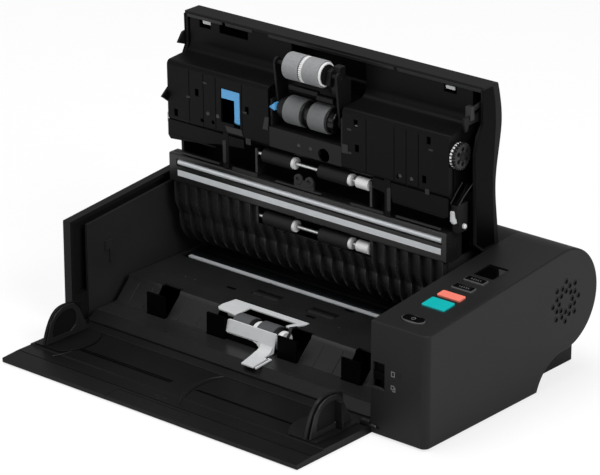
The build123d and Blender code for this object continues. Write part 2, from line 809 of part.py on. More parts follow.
def lower_bed():
    bed = slab(bed_section(), BED_X0, BED_X1)
    for x in (BED_X0, BED_X1 - PLATE_T):
        bed += slab(bed_end(), x, x + PLATE_T)
    high = BED_Z + 1
    for x in stop_x():
        bed -= block(x - STOP_W / 2 - MOVE, x + STOP_W / 2 + MOVE, STOP_SHAFT_Y - STOP_T - 2 * MOVE,
                     STOP_SLOT_END_Y,
                     LEDGE_Z - 2 * PLATE_T, high)
    bed -= block(RC_X0 - MOVE, RC_X1 + MOVE, RC_STEP_Y - 2 * MOVE, RC_REAR_Y + RC_HEEL_GAP, LEDGE_Z, high)
    bed -= block(retard_ear_x()[0] - SLIDE, RC_FRONT_X1 + MOVE, RAMP_Y, RC_STEP_Y,
                 LEDGE_Z - PLATE_T - 1, high)
    bed -= block(SCAN_X0 - SLIDE, SCAN_X1 + SLIDE, SCAN_Y0 - SLIDE, SCAN_Y1 + SLIDE,
                 BED_Z - 2 * PLATE_T, high)
    for x in nip_x():
        for y in (REG_Y, EXIT_Y):
            bed -= block(x - IDLER_W / 2 - MOVE, x + IDLER_W / 2 + MOVE, y - IDLER_R - MOVE,
                         y + IDLER_R + MOVE,
                         BED_Z - 2 * PLATE_T, high)
    for x in (RC_X0 - MOVE - PLATE_T, RC_X1 + MOVE):
        bed += block(x, x + PLATE_T, rc_pin_y() - 2 * RC_PIN_R, rc_pin_y() + 2 * RC_PIN_R,
                     rc_pin_z() - 2 * RC_PIN_R, BED_Z - PLATE_T / 2)
        bed -= rod(x - 1, x + PLATE_T + 1, rc_pin_y(), rc_pin_z(), RC_PIN_R + RUN)
    return bed


def arc_band(r_out, r_in, start, end):
    """Curved strip about the round rear's centre between two angles in degrees."""
    def at(r, a):
        return (ROUND_Y + r * math.cos(math.radians(a)), ROUND_Z + r * math.sin(math.radians(a)))
    mid = (start + end) / 2
    outer = ThreePointArc(at(r_out, start), at(r_out, mid), at(r_out, end))
    inner = ThreePointArc(at(r_in, end), at(r_in, mid), at(r_in, start))
    ends = Line(at(r_out, end), at(r_in, end)) + Line(at(r_in, start), at(r_out, start))
    return make_face(outer + inner + ends)


def angle_at_y(r, y):
    return math.degrees(math.acos((y - ROUND_Y) / r))


def angle_at_z(r, z):
    return math.degrees(math.asin((z - ROUND_Z) / r))


def rear_shell():
    band = arc_band(ROUND_R, ROUND_R - SHELL_T, angle_at_z(ROUND_R, EXIT_TOP_Z),
                    angle_at_y(ROUND_R, SHELL_FRONT_Y))
    return slab(band, SPAN_X0, SPAN_X1)


def flap_end_angle():
    return angle_at_z(TURN_R, EXIT_TOP_Z) - 1.0


def outer_turn_guide():
    r_out = TURN_R + TURN_T
    start = flap_end_angle() + 2.0
    end = angle_at_y(TURN_R, GUIDE_FRONT_Y)
    skin = slab(arc_band(r_out, TURN_R, start, end), SPAN_X0, SPAN_X1)
    rib = arc_band(ROUND_R - SHELL_T - SEAT, TURN_R, start + 3.0, end - 3.0)
    count = 7
    for i in range(count):
        x = SPAN_X0 + (SPAN_X1 - SPAN_X0 - PLATE_T) * i / (count - 1)
        skin += slab(rib, x, x + PLATE_T)
    return skin


def flap_hinge_z():
    return PATH_Z - BED_END_DROP - FLAP_ROD_R


def path_flap():
    r_out = TURN_R + TURN_T
    start = -90.0 + math.degrees((FLAP_HINGE_Y - ROUND_Y) / TURN_R)
    band = slab(arc_band(r_out, TURN_R, start, flap_end_angle()), SPAN_X0 + MOVE, SPAN_X1 - MOVE)
    hinge = rod(LINER_X - FRAME_T, HOUSING_X + FRAME_T, FLAP_HINGE_Y, flap_hinge_z(), FLAP_ROD_R)
    return band + hinge


def rear_lower_casing():
    main = block(SPAN_X0, SPAN_X1, CASING_Y0, CASING_END_Y, BASE_Z, BASE_Z + CASING_H)
    side = block(SPAN_X1, CASING_X1, CASING_SIDE_Y, CASING_END_Y, BASE_Z, BASE_Z + CASING_SIDE_H)
    casing = main + side
    casing = fillet(casing.edges().filter_by(Axis.Z).group_by(Axis.Y)[-1], CORNER_R / 2)
    casing -= block(SPAN_X0 + WALL, USB_X - SOCKET_W, CASING_Y0 - 1, CASING_END_Y - WALL, BASE_Z + WALL,
                    BASE_Z + CASING_H - WALL)
    for x in (POWER_X, USB_X):
        casing -= block(x - SOCKET_W / 2 - SEAT, x + SOCKET_W / 2 + SEAT, CASING_END_Y - SOCKET_L - SEAT,
                        CASING_END_Y + 1, SOCKET_Z - SOCKET_H / 2 - SEAT, SOCKET_Z + SOCKET_H / 2 + SEAT)
    for x in (-FOOT_CASING_X, FOOT_CASING_X):
        casing -= Pos(x, FOOT_CASING_Y, BASE_Z) * Cylinder(FOOT_R + SEAT, 2 * (FOOT_SINK + SEAT))
    return casing


def rear_sockets():
    sockets = []
    for x in (POWER_X, USB_X):
        shell = block(x - SOCKET_W / 2, x + SOCKET_W / 2, CASING_END_Y - SOCKET_L, CASING_END_Y,
                      SOCKET_Z - SOCKET_H / 2, SOCKET_Z + SOCKET_H / 2)
        shell -= block(x - SOCKET_HOLE_W / 2, x + SOCKET_HOLE_W / 2, CASING_END_Y - SOCKET_HOLE_L,
                       CASING_END_Y + 1,
                       SOCKET_Z - SOCKET_HOLE_H / 2, SOCKET_Z + SOCKET_HOLE_H / 2)
        sockets.append(shell)
    return Compound(children=sockets)


def rubber_feet():
    feet = []
    places = [(-FOOT_SIDE_X, FOOT_FRONT_Y), (-FOOT_SIDE_X, FOOT_REAR_Y), (-FOOT_CASING_X, FOOT_CASING_Y),
              (FOOT_CASING_X - FOOT_R, FOOT_FRONT_Y), (FOOT_CASING_X - FOOT_R, FOOT_REAR_Y),
              (FOOT_CASING_X, FOOT_CASING_Y)]
    for x, y in places:
        foot = Pos(x, y, (FOOT_H + FOOT_SINK) / 2) * Cylinder(FOOT_R, FOOT_H + FOOT_SINK)
        feet.append(foot)
    return Compound(children=feet)


# Lower scan unit

def scan_top():
    return BED_Z - PLATE_T


def lower_scan_sensor():
    sensor = block(SCAN_X0, SCAN_X1, SCAN_Y0, SCAN_Y1, scan_top() - SCAN_DEPTH, scan_top())
    return sensor


def lower_white_strip():
    z0 = scan_top()
    return block(BAR_X0, BAR_X1, STRIP_Y - STRIP_W / 2, STRIP_Y + STRIP_W / 2, z0, z0 + STRIP_T)


def lower_scan_glass():
    z0 = scan_top()
    y1 = SCAN_Y1 - 1
    rear = block(SCAN_X0, SCAN_X1, y1 - GLASS_W, y1, z0, z0 + GLASS_T)
    return rear


# Stoppers, retard unit and idlers

def stopper_flaps():
    first, last = stop_x()[0], stop_x()[-1]
    flaps = rod(first - STOP_W / 2, last + STOP_W / 2, STOP_SHAFT_Y, STOP_SHAFT_Z, STOP_SHAFT_R)
    for x in stop_x():
        flaps += block(x - STOP_W / 2, x + STOP_W / 2, STOP_SHAFT_Y - STOP_T, STOP_SHAFT_Y,
                       STOP_SHAFT_Z, STOP_TOP_Z)
    return flaps


def roller_pair(y, z, r_out, r_in, width, pitch):
    return Compound(children=[ring(CENTRE_X + s * pitch / 2 - width / 2,
                                   CENTRE_X + s * pitch / 2 + width / 2,
                                   y, z, r_out, r_in) for s in (-1, 1)])


def retard_rollers():
    return roller_pair(RETARD_Y, RETARD_Z, RETARD_R, RETARD_BORE_R, ROLLER_W, ROLLER_PITCH)


def retard_shaft():
    reach = ROLLER_PITCH / 2 + ROLLER_W / 2
    core = rod(CENTRE_X - reach, CENTRE_X + reach, RETARD_Y, RETARD_Z, RETARD_BORE_R - RUN)
    ends = retard_ear_x()
    axle = rod(ends[0], ends[1] + RETARD_EAR_T, RETARD_Y, RETARD_Z, RETARD_SHAFT_R)
    return core + axle


def rc_pin_y():
    return RC_REAR_Y - RC_PIN_R * 2


def rc_pin_z():
    return BED_Z - RC_PIN_DROP


def retard_cover():
    """Cap over the retard rollers with two windows and a finger tongue."""
    dip = BED_Z - RC_DIP
    nose_y = RC_NOSE_Y
    lift = LEDGE_Z + SLIDE
    brow = dip - RC_T * 2
    upper = [(RC_REAR_Y, BED_Z - SLIDE), (nose_y, dip), (RC_FRONT_Y + 0.8, brow), (RC_FRONT_Y, RC_LIP_Z)]
    lower = [(RC_FRONT_Y + RC_WEB_T, RC_LIP_Z), (RC_FRONT_Y + 0.8 + RC_WEB_T, brow),
             (nose_y + 0.5, dip - RC_T),
             (RC_REAR_Y, BED_Z - SLIDE - RC_T)]
    section = polygon(*upper, *lower)
    cap = slab(section, RC_X0, RC_X1)
    cap -= block(RC_X0 - 1, RC_FRONT_X0, 0, RC_STEP_Y, 0, PATH_Z)
    cap -= block(RC_FRONT_X1, RC_X1 + 1, 0, RC_STEP_Y, 0, PATH_Z)
    for s in (-1, 1):
        x = CENTRE_X + s * ROLLER_PITCH / 2
        half = ROLLER_W / 2 + MOVE
        cap -= block(x - half, x + half, RC_WINDOW_Y0, RC_REAR_Y - RC_BAR_W, 0, PATH_Z)
    tongue = extrude(Plane.XY.offset(lift) * polygon(
        (RC_TONGUE_X0, RC_TONGUE_Y + 2), (RC_TONGUE_X0 + 2, RC_TONGUE_Y), (RC_TONGUE_X1, RC_TONGUE_Y),
        (RC_TONGUE_X1, RC_TONGUE_WIDE_Y), (RC_TONGUE_NECK_X, RC_TONGUE_WIDE_Y + 8),
        (RC_TONGUE_NECK_X, RC_FRONT_Y + RC_WEB_T), (RC_TONGUE_X0 - 1,
                                                    RC_FRONT_Y + RC_WEB_T)), amount=RC_TONGUE_T)
    tongue -= slab(polygon((0, 0), (LEDGE_Y + 1, 0), (LEDGE_Y + 1, lift), (0, lift)), -RIGHT_X, RIGHT_X)
    barrel = rod(RC_X0, RC_X1, rc_pin_y(), rc_pin_z(), RC_PIN_R + 1)
    pins = rod(RC_X0 - MOVE - RC_PIN_L, RC_X1 + MOVE + RC_PIN_L, rc_pin_y(), rc_pin_z(), RC_PIN_R)
    return cap + tongue + barrel + pins


def idlers(y):
    ends = idler_post_x()
    axle = rod(ends[0] - 1, ends[1] + ARM_POST_T + 1, y, IDLER_Z, NIP_SHAFT_R)
    for x in nip_x():
        axle += rod(x - IDLER_W / 2, x + IDLER_W / 2, y, IDLER_Z, IDLER_R)
    return axle


# Hinge pins

def cover_hinge_pins():
    left = rod(LEFT_IN, COVER_X0 + COVER_SIDE_T + 1, HINGE_Y, HINGE_Z, HINGE_PIN_R)
    right = rod(COVER_X1 - COVER_SIDE_T - 1, HOUSING_X + FRAME_T, HINGE_Y, HINGE_Z, HINGE_PIN_R)
    return Compound(children=[left, right])


def tray_hinge_pins():
    left = rod(LEFT_IN - TRAY_PIN_L, TRAY_X0 + TRAY_KNUCKLE_L, TRAY_HINGE_Y, TRAY_HINGE_Z, TRAY_PIN_R)
    right = rod(TRAY_X1 - TRAY_KNUCKLE_L, HOUSING_X + TRAY_PIN_L, TRAY_HINGE_Y, TRAY_HINGE_Z, TRAY_PIN_R)
    return Compound(children=[left, right])


# Cover: outer shell

def cover_section():
    """Curved top with the front lip, as one thick skin."""
    outer = Spline(*COVER_TOP)
    under = Spline(*[(y + (COVER_SKIN if i == 0 else 0), z - COVER_SKIN)
                     for i, (y, z) in enumerate(COVER_TOP)])
    y0, z0 = COVER_TOP[0]
    y1, z1 = COVER_TOP[-1]
    lip = Line((y0, z0), (COVER_FRONT, LIP_Z)) + Line((COVER_FRONT, LIP_Z),
                                                      (COVER_FRONT + COVER_SKIN, LIP_Z))
    inside = Line((COVER_FRONT + COVER_SKIN, LIP_Z), (y0 + COVER_SKIN, z0 - COVER_SKIN))
    tail = Line((y1, z1), (y1, z1 - COVER_SKIN))
    return make_face(outer + under + lip + inside + tail)


def cover_side():
    """Side wall under the skin, with the ear that turns on the hinge pin."""
    top = Spline(*[(y + (1 if i == 0 else 0), z - 1) for i, (y, z) in enumerate(COVER_TOP)])
    y0, z0 = COVER_TOP[0]
    y1, z1 = COVER_TOP[-1]
    rest = Polyline((y1, z1 - 1), (COVER_END_Y, SIDE_Z + SIDE_END_H),
                    (COVER_END_Y - SIDE_END_D, SIDE_Z + 2),
                    (SIDE_LOW_Y, SIDE_Z), (SIDE_RAMP_Y, SIDE_Z + SIDE_RAMP_H), (SIDE_STEP_Y, LIP_Z),
                    (y0 + 1, LIP_Z), (y0 + 1, z0 - 1))
    return make_face(top + rest)


def ear_section():
    link = polygon((COVER_END_Y - 8, SIDE_Z + 20), (HINGE_Y, HINGE_Z - EAR_R),
                   (HINGE_Y, HINGE_Z + EAR_R * 0.6),
                   (COVER_END_Y - 8, COVER_TOP[-1][1] - 2))
    return link + disc(HINGE_Y, HINGE_Z, EAR_R)


def top_cover():
    shell = slab(cover_section(), COVER_X0, COVER_X1)
    front = shell.edges().filter_by(Axis.X).filter_by_position(Axis.Y, COVER_FRONT - 0.1, COVER_FRONT + 0.1)
    shell = fillet(front.sort_by(Axis.Z)[-1], LIP_R * 0.4)
    for x in (COVER_X0, COVER_X1 - COVER_SIDE_T):
        side = slab(cover_side(), x, x + COVER_SIDE_T) + slab(ear_section(), x, x + COVER_SIDE_T)
        side -= rod(x - 1, x + COVER_SIDE_T + 1, HINGE_Y, HINGE_Z, HINGE_PIN_R + RUN)
        side -= rod(x - 1, x + COVER_SIDE_T + 1, LATCH_Y, LATCH_Z, LATCH_ROD_R + RUN)
        shell += side
    return opened(shell)


# Cover: inner guide

def guide_faces():
    """Outer and inner outlines of the guide's skin."""
    high = GUIDE_END_Z
    tail_z = FACE_Z + FACE_TAIL_RISE
    outer = rounded([(GUIDE_Y0, RECESS_Z), (STEP_Y, RECESS_Z), (RIDGE_Y, FACE_Z), (FACE_END_Y, FACE_Z),
                     (FACE_TAIL_Y, tail_z), (FACE_TAIL_Y, high), (GUIDE_Y0, high)],
                    [0, STEP_R, RIDGE_R, RIDGE_R, 0, 0, 0])
    t = PLATE_T
    inner = rounded([(GUIDE_Y0 - 1, RECESS_Z + t), (STEP_Y + t, RECESS_Z + t), (RIDGE_Y + t, FACE_Z + t),
                     (FACE_END_Y - t / 2, FACE_Z + t), (FACE_TAIL_Y - t, tail_z), (FACE_TAIL_Y - t,
                                                                                   high + 1),
                     (GUIDE_Y0 - 1, high + 1)],
                    [0, STEP_R - t, RIDGE_R - t, RIDGE_R - t, 0, 0, 0])
    return outer, inner


def from_ends(left, right):
    """Places on the guide's face, from distances to its left or right end and to its rear."""
    west = [(GUIDE_X0 + x, FACE_END_Y - y) for x, y in left]
    return west + [(GUIDE_X1 - x, FACE_END_Y - y) for x, y in right]


def guide_cuts():
    cut = block(BAY_X0, BAY_X1, BAY_Y0, BAY_Y1, FACE_Z - 1, RECESS_Z + 2 * PLATE_T)
    cut += block(BRACKET_X0 - SEAT, BRACKET_X1 + SEAT, BAY_Y1 - 1, BRACKET_PLATE_Y1 + SEAT, FACE_Z - 1,
                 FACE_Z + 2 * PLATE_T)
    cut += block(RELEASE_X0 - MOVE, RELEASE_X1 + MOVE, RELEASE_Y0 - MOVE,
                 release_pin_y() + RELEASE_PIN_R + MOVE,
                 FACE_Z - 1, FACE_Z + 2 * PLATE_T)
    cut += block(RELEASE_X1 - RELEASE_LEG_W - MOVE, RELEASE_X1 + MOVE, release_pin_y(),
                 release_pin_y() + RELEASE_HEEL, FACE_Z - 1, FACE_Z + 2 * PLATE_T)
    cut += block(PORT_X - PORT_W / 2, PORT_X + PORT_W / 2, PORT_Y - PORT_L / 2 + 1, PORT_Y + PORT_L / 2,
                 RECESS_Z - 1, RECESS_Z + 2 * PLATE_T)
    for x in TAB_X:
        cut += block(x - TAB_W / 2, x + TAB_W / 2, TAB_Y - TAB_L / 4, TAB_Y + TAB_L * 3 / 4,
                     RECESS_Z - 1, RECESS_Z + 2 * PLATE_T)
    for x, y in from_ends(LEFT_SLOT_MARKS, RIGHT_SLOT_MARKS):
        cut += block(x - SLOT_MARK_W / 2, x + SLOT_MARK_W / 2, y - SLOT_MARK_L / 2, y + SLOT_MARK_L / 2,
                     FACE_Z - 1, FACE_Z + 2 * PLATE_T)
    for x, y in from_ends(LEFT_HOLE_MARKS, RIGHT_HOLE_MARKS):
        cut += Pos(x, y, FACE_Z) * Cylinder(HOLE_MARK_R, 2 * PLATE_T + 2)
    for x in [GUIDE_X0 + d for d in LEFT_GROOVES] + [GUIDE_X1 - d for d in RIGHT_GROOVES]:
        cut += block(x - GROOVE_W / 2, x + GROOVE_W / 2, RIDGE_Y + RIDGE_R, FACE_TAIL_Y + 1, FACE_Z - 1,
                     FACE_Z + GROOVE_T)
    return cut


def inner_guide():
    outer, inner = guide_faces()
    skin = slab(outer - inner, GUIDE_X0, GUIDE_X1)
    skin -= guide_cuts()
    for x in (GUIDE_X0, GUIDE_X1 - PLATE_T):
        skin += slab(outer, x, x + PLATE_T)
    skin -= rod(GUIDE_X0 - 1, GUIDE_X1 + 1, LATCH_Y, LATCH_Z, LATCH_ROD_R + SLIDE)
    skin -= rod(BAY_X1, GUIDE_X1 + 1, FEED_Y, FEED_Z, FEED_SHAFT_R + SLIDE)
    for x in FINGER_X:
        skin += block(x - FINGER_W / 2, x + FINGER_W / 2, FACE_END_Y - 1, BOX_Y0 - SLIDE, FACE_Z,
                      FACE_Z + PLATE_T)
        skin += block(x - FINGER_W / 2, x + FINGER_W / 2, FACE_END_Y - 1, FACE_TAIL_Y, FACE_Z,
                      FACE_Z + FACE_TAIL_RISE)
    tooth = polygon((TOOTH_Y - TOOTH_W / 2, FACE_Z + PLATE_T), (TOOTH_Y, FACE_Z + PLATE_T - TOOTH_H),
                    (TOOTH_Y + TOOTH_W / 2, FACE_Z + PLATE_T))
    skin += slab(tooth, GUIDE_X0 - TOOTH_X, GUIDE_X0)
    skin += block(GUIDE_X0 - TOOTH_X, GUIDE_X0, TOOTH_Y - TOOTH_W / 2, TOOTH_Y + TOOTH_W / 2,
                  FACE_Z + PLATE_T,
                  FACE_Z + PLATE_T + TOOTH_H)
    for x in release_ear_x():
        ear = block(x, x + PLATE_T, release_pin_y() - PLATE_T, release_pin_y() + 2 * PLATE_T,
                    FACE_Z + PLATE_T, release_pin_z() + 2 * RELEASE_PIN_R)
        skin += ear - rod(x - 1, x + PLATE_T + 1, release_pin_y(), release_pin_z(), RELEASE_PIN_R + RUN)
    return opened(skin)


# Cover: release lever

def release_pin_y():
    return RELEASE_Y0 + RELEASE_BAR_L + RELEASE_LEG_L


def release_pin_z():
    return FACE_Z + PLATE_T + RELEASE_PIN_R + MOVE


def release_ear_x():
    x0 = RELEASE_X1 - RELEASE_LEG_W - MOVE
    return (x0 - PLATE_T, RELEASE_X1 + MOVE)


def release_lever():
    z0 = FACE_Z + SLIDE
    bar = block(RELEASE_X0, RELEASE_X1, RELEASE_Y0, RELEASE_Y0 + RELEASE_BAR_L, z0, z0 + RELEASE_T)
    leg = block(RELEASE_X1 - RELEASE_LEG_W, RELEASE_X1, RELEASE_Y0, release_pin_y(), z0, z0 + RELEASE_T)
    barrel = rod(RELEASE_X1 - RELEASE_LEG_W, RELEASE_X1, release_pin_y(), release_pin_z(),
                 RELEASE_PIN_R + 1)
    ears = release_ear_x()
    pin = rod(ears[0], ears[1] + PLATE_T, release_pin_y(), release_pin_z(), RELEASE_PIN_R)
    return opened(bar + leg + barrel + pin)


# Cover: latch

def hook(x0):
    tip = LATCH_TIP_Z
    shank = block(x0, x0 + LATCH_HOOK_T, LATCH_Y - LATCH_HOOK_W / 2, LATCH_Y + LATCH_HOOK_W / 2, tip,
                  LATCH_Z)
    eye = rod(x0, x0 + LATCH_HOOK_T, LATCH_Y, LATCH_Z, LATCH_HOOK_W / 2 + 1)
    nose = slab(polygon((LATCH_Y, tip), (LATCH_NOSE_Y, tip + 2), (LATCH_NOSE_Y, tip + LATCH_NOSE_H),
                        (LATCH_Y, tip + LATCH_NOSE_H + 3)), x0, x0 + LATCH_HOOK_T)
    return shank + eye + nose


def latch_hooks():
    left_x = COVER_X0 - LATCH_HOOK_T - SLIDE
    bar = rod(left_x, LATCH_RIGHT_X + LATCH_HOOK_T, LATCH_Y, LATCH_Z, LATCH_ROD_R)
    return opened(bar + hook(left_x) + hook(LATCH_RIGHT_X))


# Cover: feed roller group

def feed_reach():
    return ROLLER_PITCH / 2 + ROLLER_W / 2


def feed_rollers():
    return opened(roller_pair(FEED_Y, FEED_Z, FEED_R, FEED_BORE_R, ROLLER_W, ROLLER_PITCH))


def feed_hubs():
    reach = feed_reach() + FEED_HUB_OUT
    return opened(ring(CENTRE_X - reach, CENTRE_X + reach, FEED_Y, FEED_Z, FEED_BORE_R, FEED_SHAFT_R))


def feed_shaft():
    return opened(rod(BRACKET_X0 - 1, GUIDE_X1 + FEED_GEAR_T + MOVE, FEED_Y, FEED_Z, FEED_SHAFT_R))


def gear_face(radius, teeth, height):
    """Gear outline with straight-flanked teeth, centred on its own origin."""
    step = math.tau / teeth
    points = []
    for i in range(teeth):
        a = i * step
        for r, share in ((radius - height, -0.3), (radius, -0.14), (radius, 0.14), (radius - height, 0.3)):
            points.append((r * math.cos(a + share * step), r * math.sin(a + share * step)))
    return polygon(*points)


def feed_gear():
    x0 = GUIDE_X1 + MOVE
    face = gear_face(FEED_GEAR_R, FEED_GEAR_TEETH, GEAR_TOOTH_H)
    window_r = FEED_GEAR_R / 6
    for i in range(GEAR_SPOKES):
        angle = math.tau * i / GEAR_SPOKES
        reach = FEED_GEAR_R * 0.55
        face -= Pos(reach * math.cos(angle), reach * math.sin(angle)) * Circle(window_r)
    face -= Circle(FEED_SHAFT_R)
    gear = slab(Pos(FEED_Y, FEED_Z) * face, x0, x0 + FEED_GEAR_T)
    return opened(gear)


def roller_bracket():
    """Ears for the feed shaft joined by a rear plate, with the grey face plate below."""
    back_z = RECESS_Z - PLATE_T - MOVE
    ears = None
    for x in (BRACKET_X0, BRACKET_X1 - BRACKET_T):
        ear = block(x, x + BRACKET_T, FEED_Y - EAR_R, BRACKET_PLATE_Y1, FACE_Z + PLATE_T, back_z)
        ear -= rod(x - 1, x + BRACKET_T + 1, FEED_Y, FEED_Z, FEED_SHAFT_R + RUN)
        ears = ear if ears is None else ears + ear
    back = block(BRACKET_X0, BRACKET_X1, FEED_Y - EAR_R, BRACKET_PLATE_Y1, back_z - BRACKET_T, back_z)
    plate = block(BRACKET_X0, BRACKET_X1, BRACKET_PLATE_Y0, BRACKET_PLATE_Y1, FACE_Z, FACE_Z + BRACKET_T)
    flange_z = FACE_Z + PLATE_T + SEAT
    flange = block(BRACKET_X0 - BRACKET_LAP, BRACKET_X1 + BRACKET_LAP, BRACKET_PLATE_Y0,
                   BRACKET_PLATE_Y1 - RIDGE_R,
                   flange_z, flange_z + BRACKET_T)
    joint = block(BRACKET_X0, BRACKET_X1, BRACKET_PLATE_Y0, BRACKET_PLATE_Y1 - RIDGE_R, FACE_Z, flange_z)
    plate = plate + joint + flange
    plate -= Pos(BRACKET_HOLE_X, BRACKET_HOLE_Y - RIDGE_R / 2, FACE_Z) * Cylinder(BRACKET_HOLE_R,
                                                                                  5 * BRACKET_T)
    link = block(BRACKET_X0, BRACKET_X1, BRACKET_PLATE_Y0, BRACKET_PLATE_Y0 + BRACKET_T, FACE_Z, back_z)
    return opened(ears + back + plate + link)


def arm_x():
    reach = feed_reach() + FEED_HUB_OUT + ARM_GAP
    return (CENTRE_X - reach - ARM_T, CENTRE_X + reach)


def pickup_arm():
    xs = arm_x()
    arm = None
    for x in xs:
        bar = slab(disc(FEED_Y, FEED_Z, ARM_W / 2 + 1) + disc(PICKUP_Y, PICKUP_Z, ARM_W / 2)
                   + polygon((PICKUP_Y, PICKUP_Z - ARM_W / 2), (FEED_Y, FEED_Z - ARM_W / 2),
                             (FEED_Y, FEED_Z + ARM_W / 2), (ARM_PLATE_Y1, PICKUP_Z + PICKUP_R + 3),
                             (ARM_PLATE_Y0, PICKUP_Z + PICKUP_R + 3), (PICKUP_Y,
                                                                       PICKUP_Z + ARM_W / 2)), x, x + ARM_T)
        bar -= rod(x - 1, x + ARM_T + 1, FEED_Y, FEED_Z, FEED_SHAFT_R + RUN)
        bar -= rod(x - 1, x + ARM_T + 1, PICKUP_Y, PICKUP_Z, PICKUP_SHAFT_R + RUN)
        arm = bar if arm is None else arm + bar
    plate_z = PICKUP_Z + PICKUP_R + 1
    plate = block(xs[0], xs[1] + ARM_T, ARM_PLATE_Y0, ARM_PLATE_Y1, plate_z, plate_z + 2)
    return opened(arm + plate)


def pickup_rollers():
    return opened(roller_pair(PICKUP_Y, PICKUP_Z, PICKUP_R, PICKUP_BORE_R, PICKUP_W, PICKUP_PITCH))


def pickup_hub():
    reach = PICKUP_PITCH / 2 + PICKUP_W / 2
    xs = arm_x()
    core = rod(CENTRE_X - reach, CENTRE_X + reach + 3, PICKUP_Y, PICKUP_Z, PICKUP_BORE_R)
    axle = rod(xs[0], xs[1] + ARM_T, PICKUP_Y, PICKUP_Z, PICKUP_SHAFT_R)
    return opened(core + axle)


# Cover: registration and exit rollers

def nip_shaft(y):
    left = nip_x()[0] - NIP_W / 2 - NIP_STUB
    right = nip_x()[1] + NIP_W / 2 + NIP_TAIL
    return rod(left, right, y, NIP_Z, NIP_SHAFT_R)


def nip_rollers(y):
    return roller_pair(y, NIP_Z, NIP_R, NIP_SHAFT_R, NIP_W, NIP_PITCH)


def nip_hubs(y):
    """White bushes at the rollers' right ends and the coupler beyond them."""
    hubs = [ring(x + NIP_W / 2, x + NIP_W / 2 + HUB_T, y, NIP_Z, HUB_R, NIP_SHAFT_R) for x in nip_x()]
    x0 = nip_x()[1] + NIP_W / 2 + COUPLER_GAP
    hubs.append(ring(x0, x0 + COUPLER_L, y, NIP_Z, COUPLER_R, NIP_SHAFT_R))
    return Compound(children=hubs)


# Cover: scan box, platen and turn guide

def box_section():
    z0 = FACE_Z - SLIDE
    return rounded([(BOX_Y0, z0), (BOX_Y1, z0), (BOX_Y1, z0 + BOX_H), (BOX_Y0 + 6, z0 + BOX_H),
                    (BOX_Y0, z0 + 12)],
                   [BOX_R / 2, BOX_R / 2, BOX_R, BOX_R, BOX_R])


def shaft_end_x():
    left = nip_x()[0] - NIP_W / 2 - NIP_STUB
    right = nip_x()[1] + NIP_W / 2 + NIP_TAIL
    return (left, right - ARM_POST_T)


def upper_scan_box():
    box = slab(box_section(), BOX_X0, BOX_X1)
    z0 = FACE_Z - SLIDE
    box -= block(BAR_X0, BAR_X1, UPPER_STRIP_Y - UPPER_STRIP_W / 2 - SEAT,
                 UPPER_STRIP_Y + UPPER_STRIP_W / 2 + SEAT,
                 z0 - 1, z0 + UPPER_STRIP_T)
    box -= block(BAR_X0 - 1, BAR_X1 + 1, PLATEN_Y - PLATEN_R - MOVE, PLATEN_Y + PLATEN_R + MOVE, z0 - 1,
                 platen_z() + PLATEN_R + MOVE)
    box -= rod(BAR_X0 - 4, BAR_X1 + 4, PLATEN_Y, platen_z(), PLATEN_END_R + RUN)
    for x in shaft_end_x():
        for y0, y1, y in ((REG_Y - 5, BOX_Y0 + 4, REG_Y), (BOX_Y1 - 4, EXIT_Y + 5, EXIT_Y)):
            arm = block(x, x + ARM_POST_T, y0, y1, NIP_Z - 3, NIP_Z + ARM_POST_H)
            box += arm - rod(x - 1, x + ARM_POST_T + 1, y, NIP_Z, NIP_SHAFT_R + RUN)
    return opened(box)


def upper_white_strip():
    z0 = FACE_Z - SLIDE
    return opened(block(BAR_X0 + SEAT, BAR_X1 - SEAT, UPPER_STRIP_Y - UPPER_STRIP_W / 2,
                        UPPER_STRIP_Y + UPPER_STRIP_W / 2,
                        z0, z0 + UPPER_STRIP_T))


def platen_z():
    return FACE_Z - SLIDE + PLATEN_R


def platen_roller():
    roller = rod(BAR_X0, BAR_X1, PLATEN_Y, platen_z(), PLATEN_R)
    ends = rod(BAR_X0 - 3.5, BAR_X1 + 3.5, PLATEN_Y, platen_z(), PLATEN_END_R)
    return opened(roller + ends)


def nose_outline(r, lift):
    """Half drum with a flat foot, about the round rear's centre."""
    low_y = BOX_Y1 + SLIDE * 2
    top_y = BOX_Y1 + 2
    low = (ROUND_Y - r * 0.17, ROUND_Z - r * 0.985)
    high = (ROUND_Y - r * 0.17, ROUND_Z + r * 0.985)
    back = ThreePointArc(low, (ROUND_Y + r, ROUND_Z), high)
    rest = Polyline(high, (HINGE_Y - 8, HINGE_Z + 5 - lift), (top_y, HINGE_Z + 1 - lift),
                    (low_y, HINGE_Z - 8),
                    (low_y, FACE_Z + 1 + lift), (HINGE_Y, FACE_Z + 1 + lift), low)
    return make_face(back + rest)


def turn_guide():
    hollow = nose_outline(NOSE_CORE_R - PLATE_T, NOSE_R - NOSE_CORE_R + PLATE_T)
    core = slab(nose_outline(NOSE_CORE_R, NOSE_R - NOSE_CORE_R), NOSE_X0, NOSE_X1)
    core -= slab(hollow, NOSE_X0 + PLATE_T, NOSE_X1 - PLATE_T)
    rib = nose_outline(NOSE_R, 0) - hollow
    span = NOSE_X1 - NOSE_X0 - 2 * RIB_MARGIN
    for i in range(RIB_COUNT):
        x = NOSE_X0 + RIB_MARGIN + span * i / (RIB_COUNT - 1)
        core += slab(rib, x - RIB_T / 2, x + RIB_T / 2)
    ends = shaft_end_x()
    core -= block(ends[0] - MOVE, ends[1] + ARM_POST_T + MOVE, 0, EXIT_Y + NIP_R + 2, 0,
                  NIP_Z + ARM_POST_H + MOVE)
    return opened(core)


# Tray

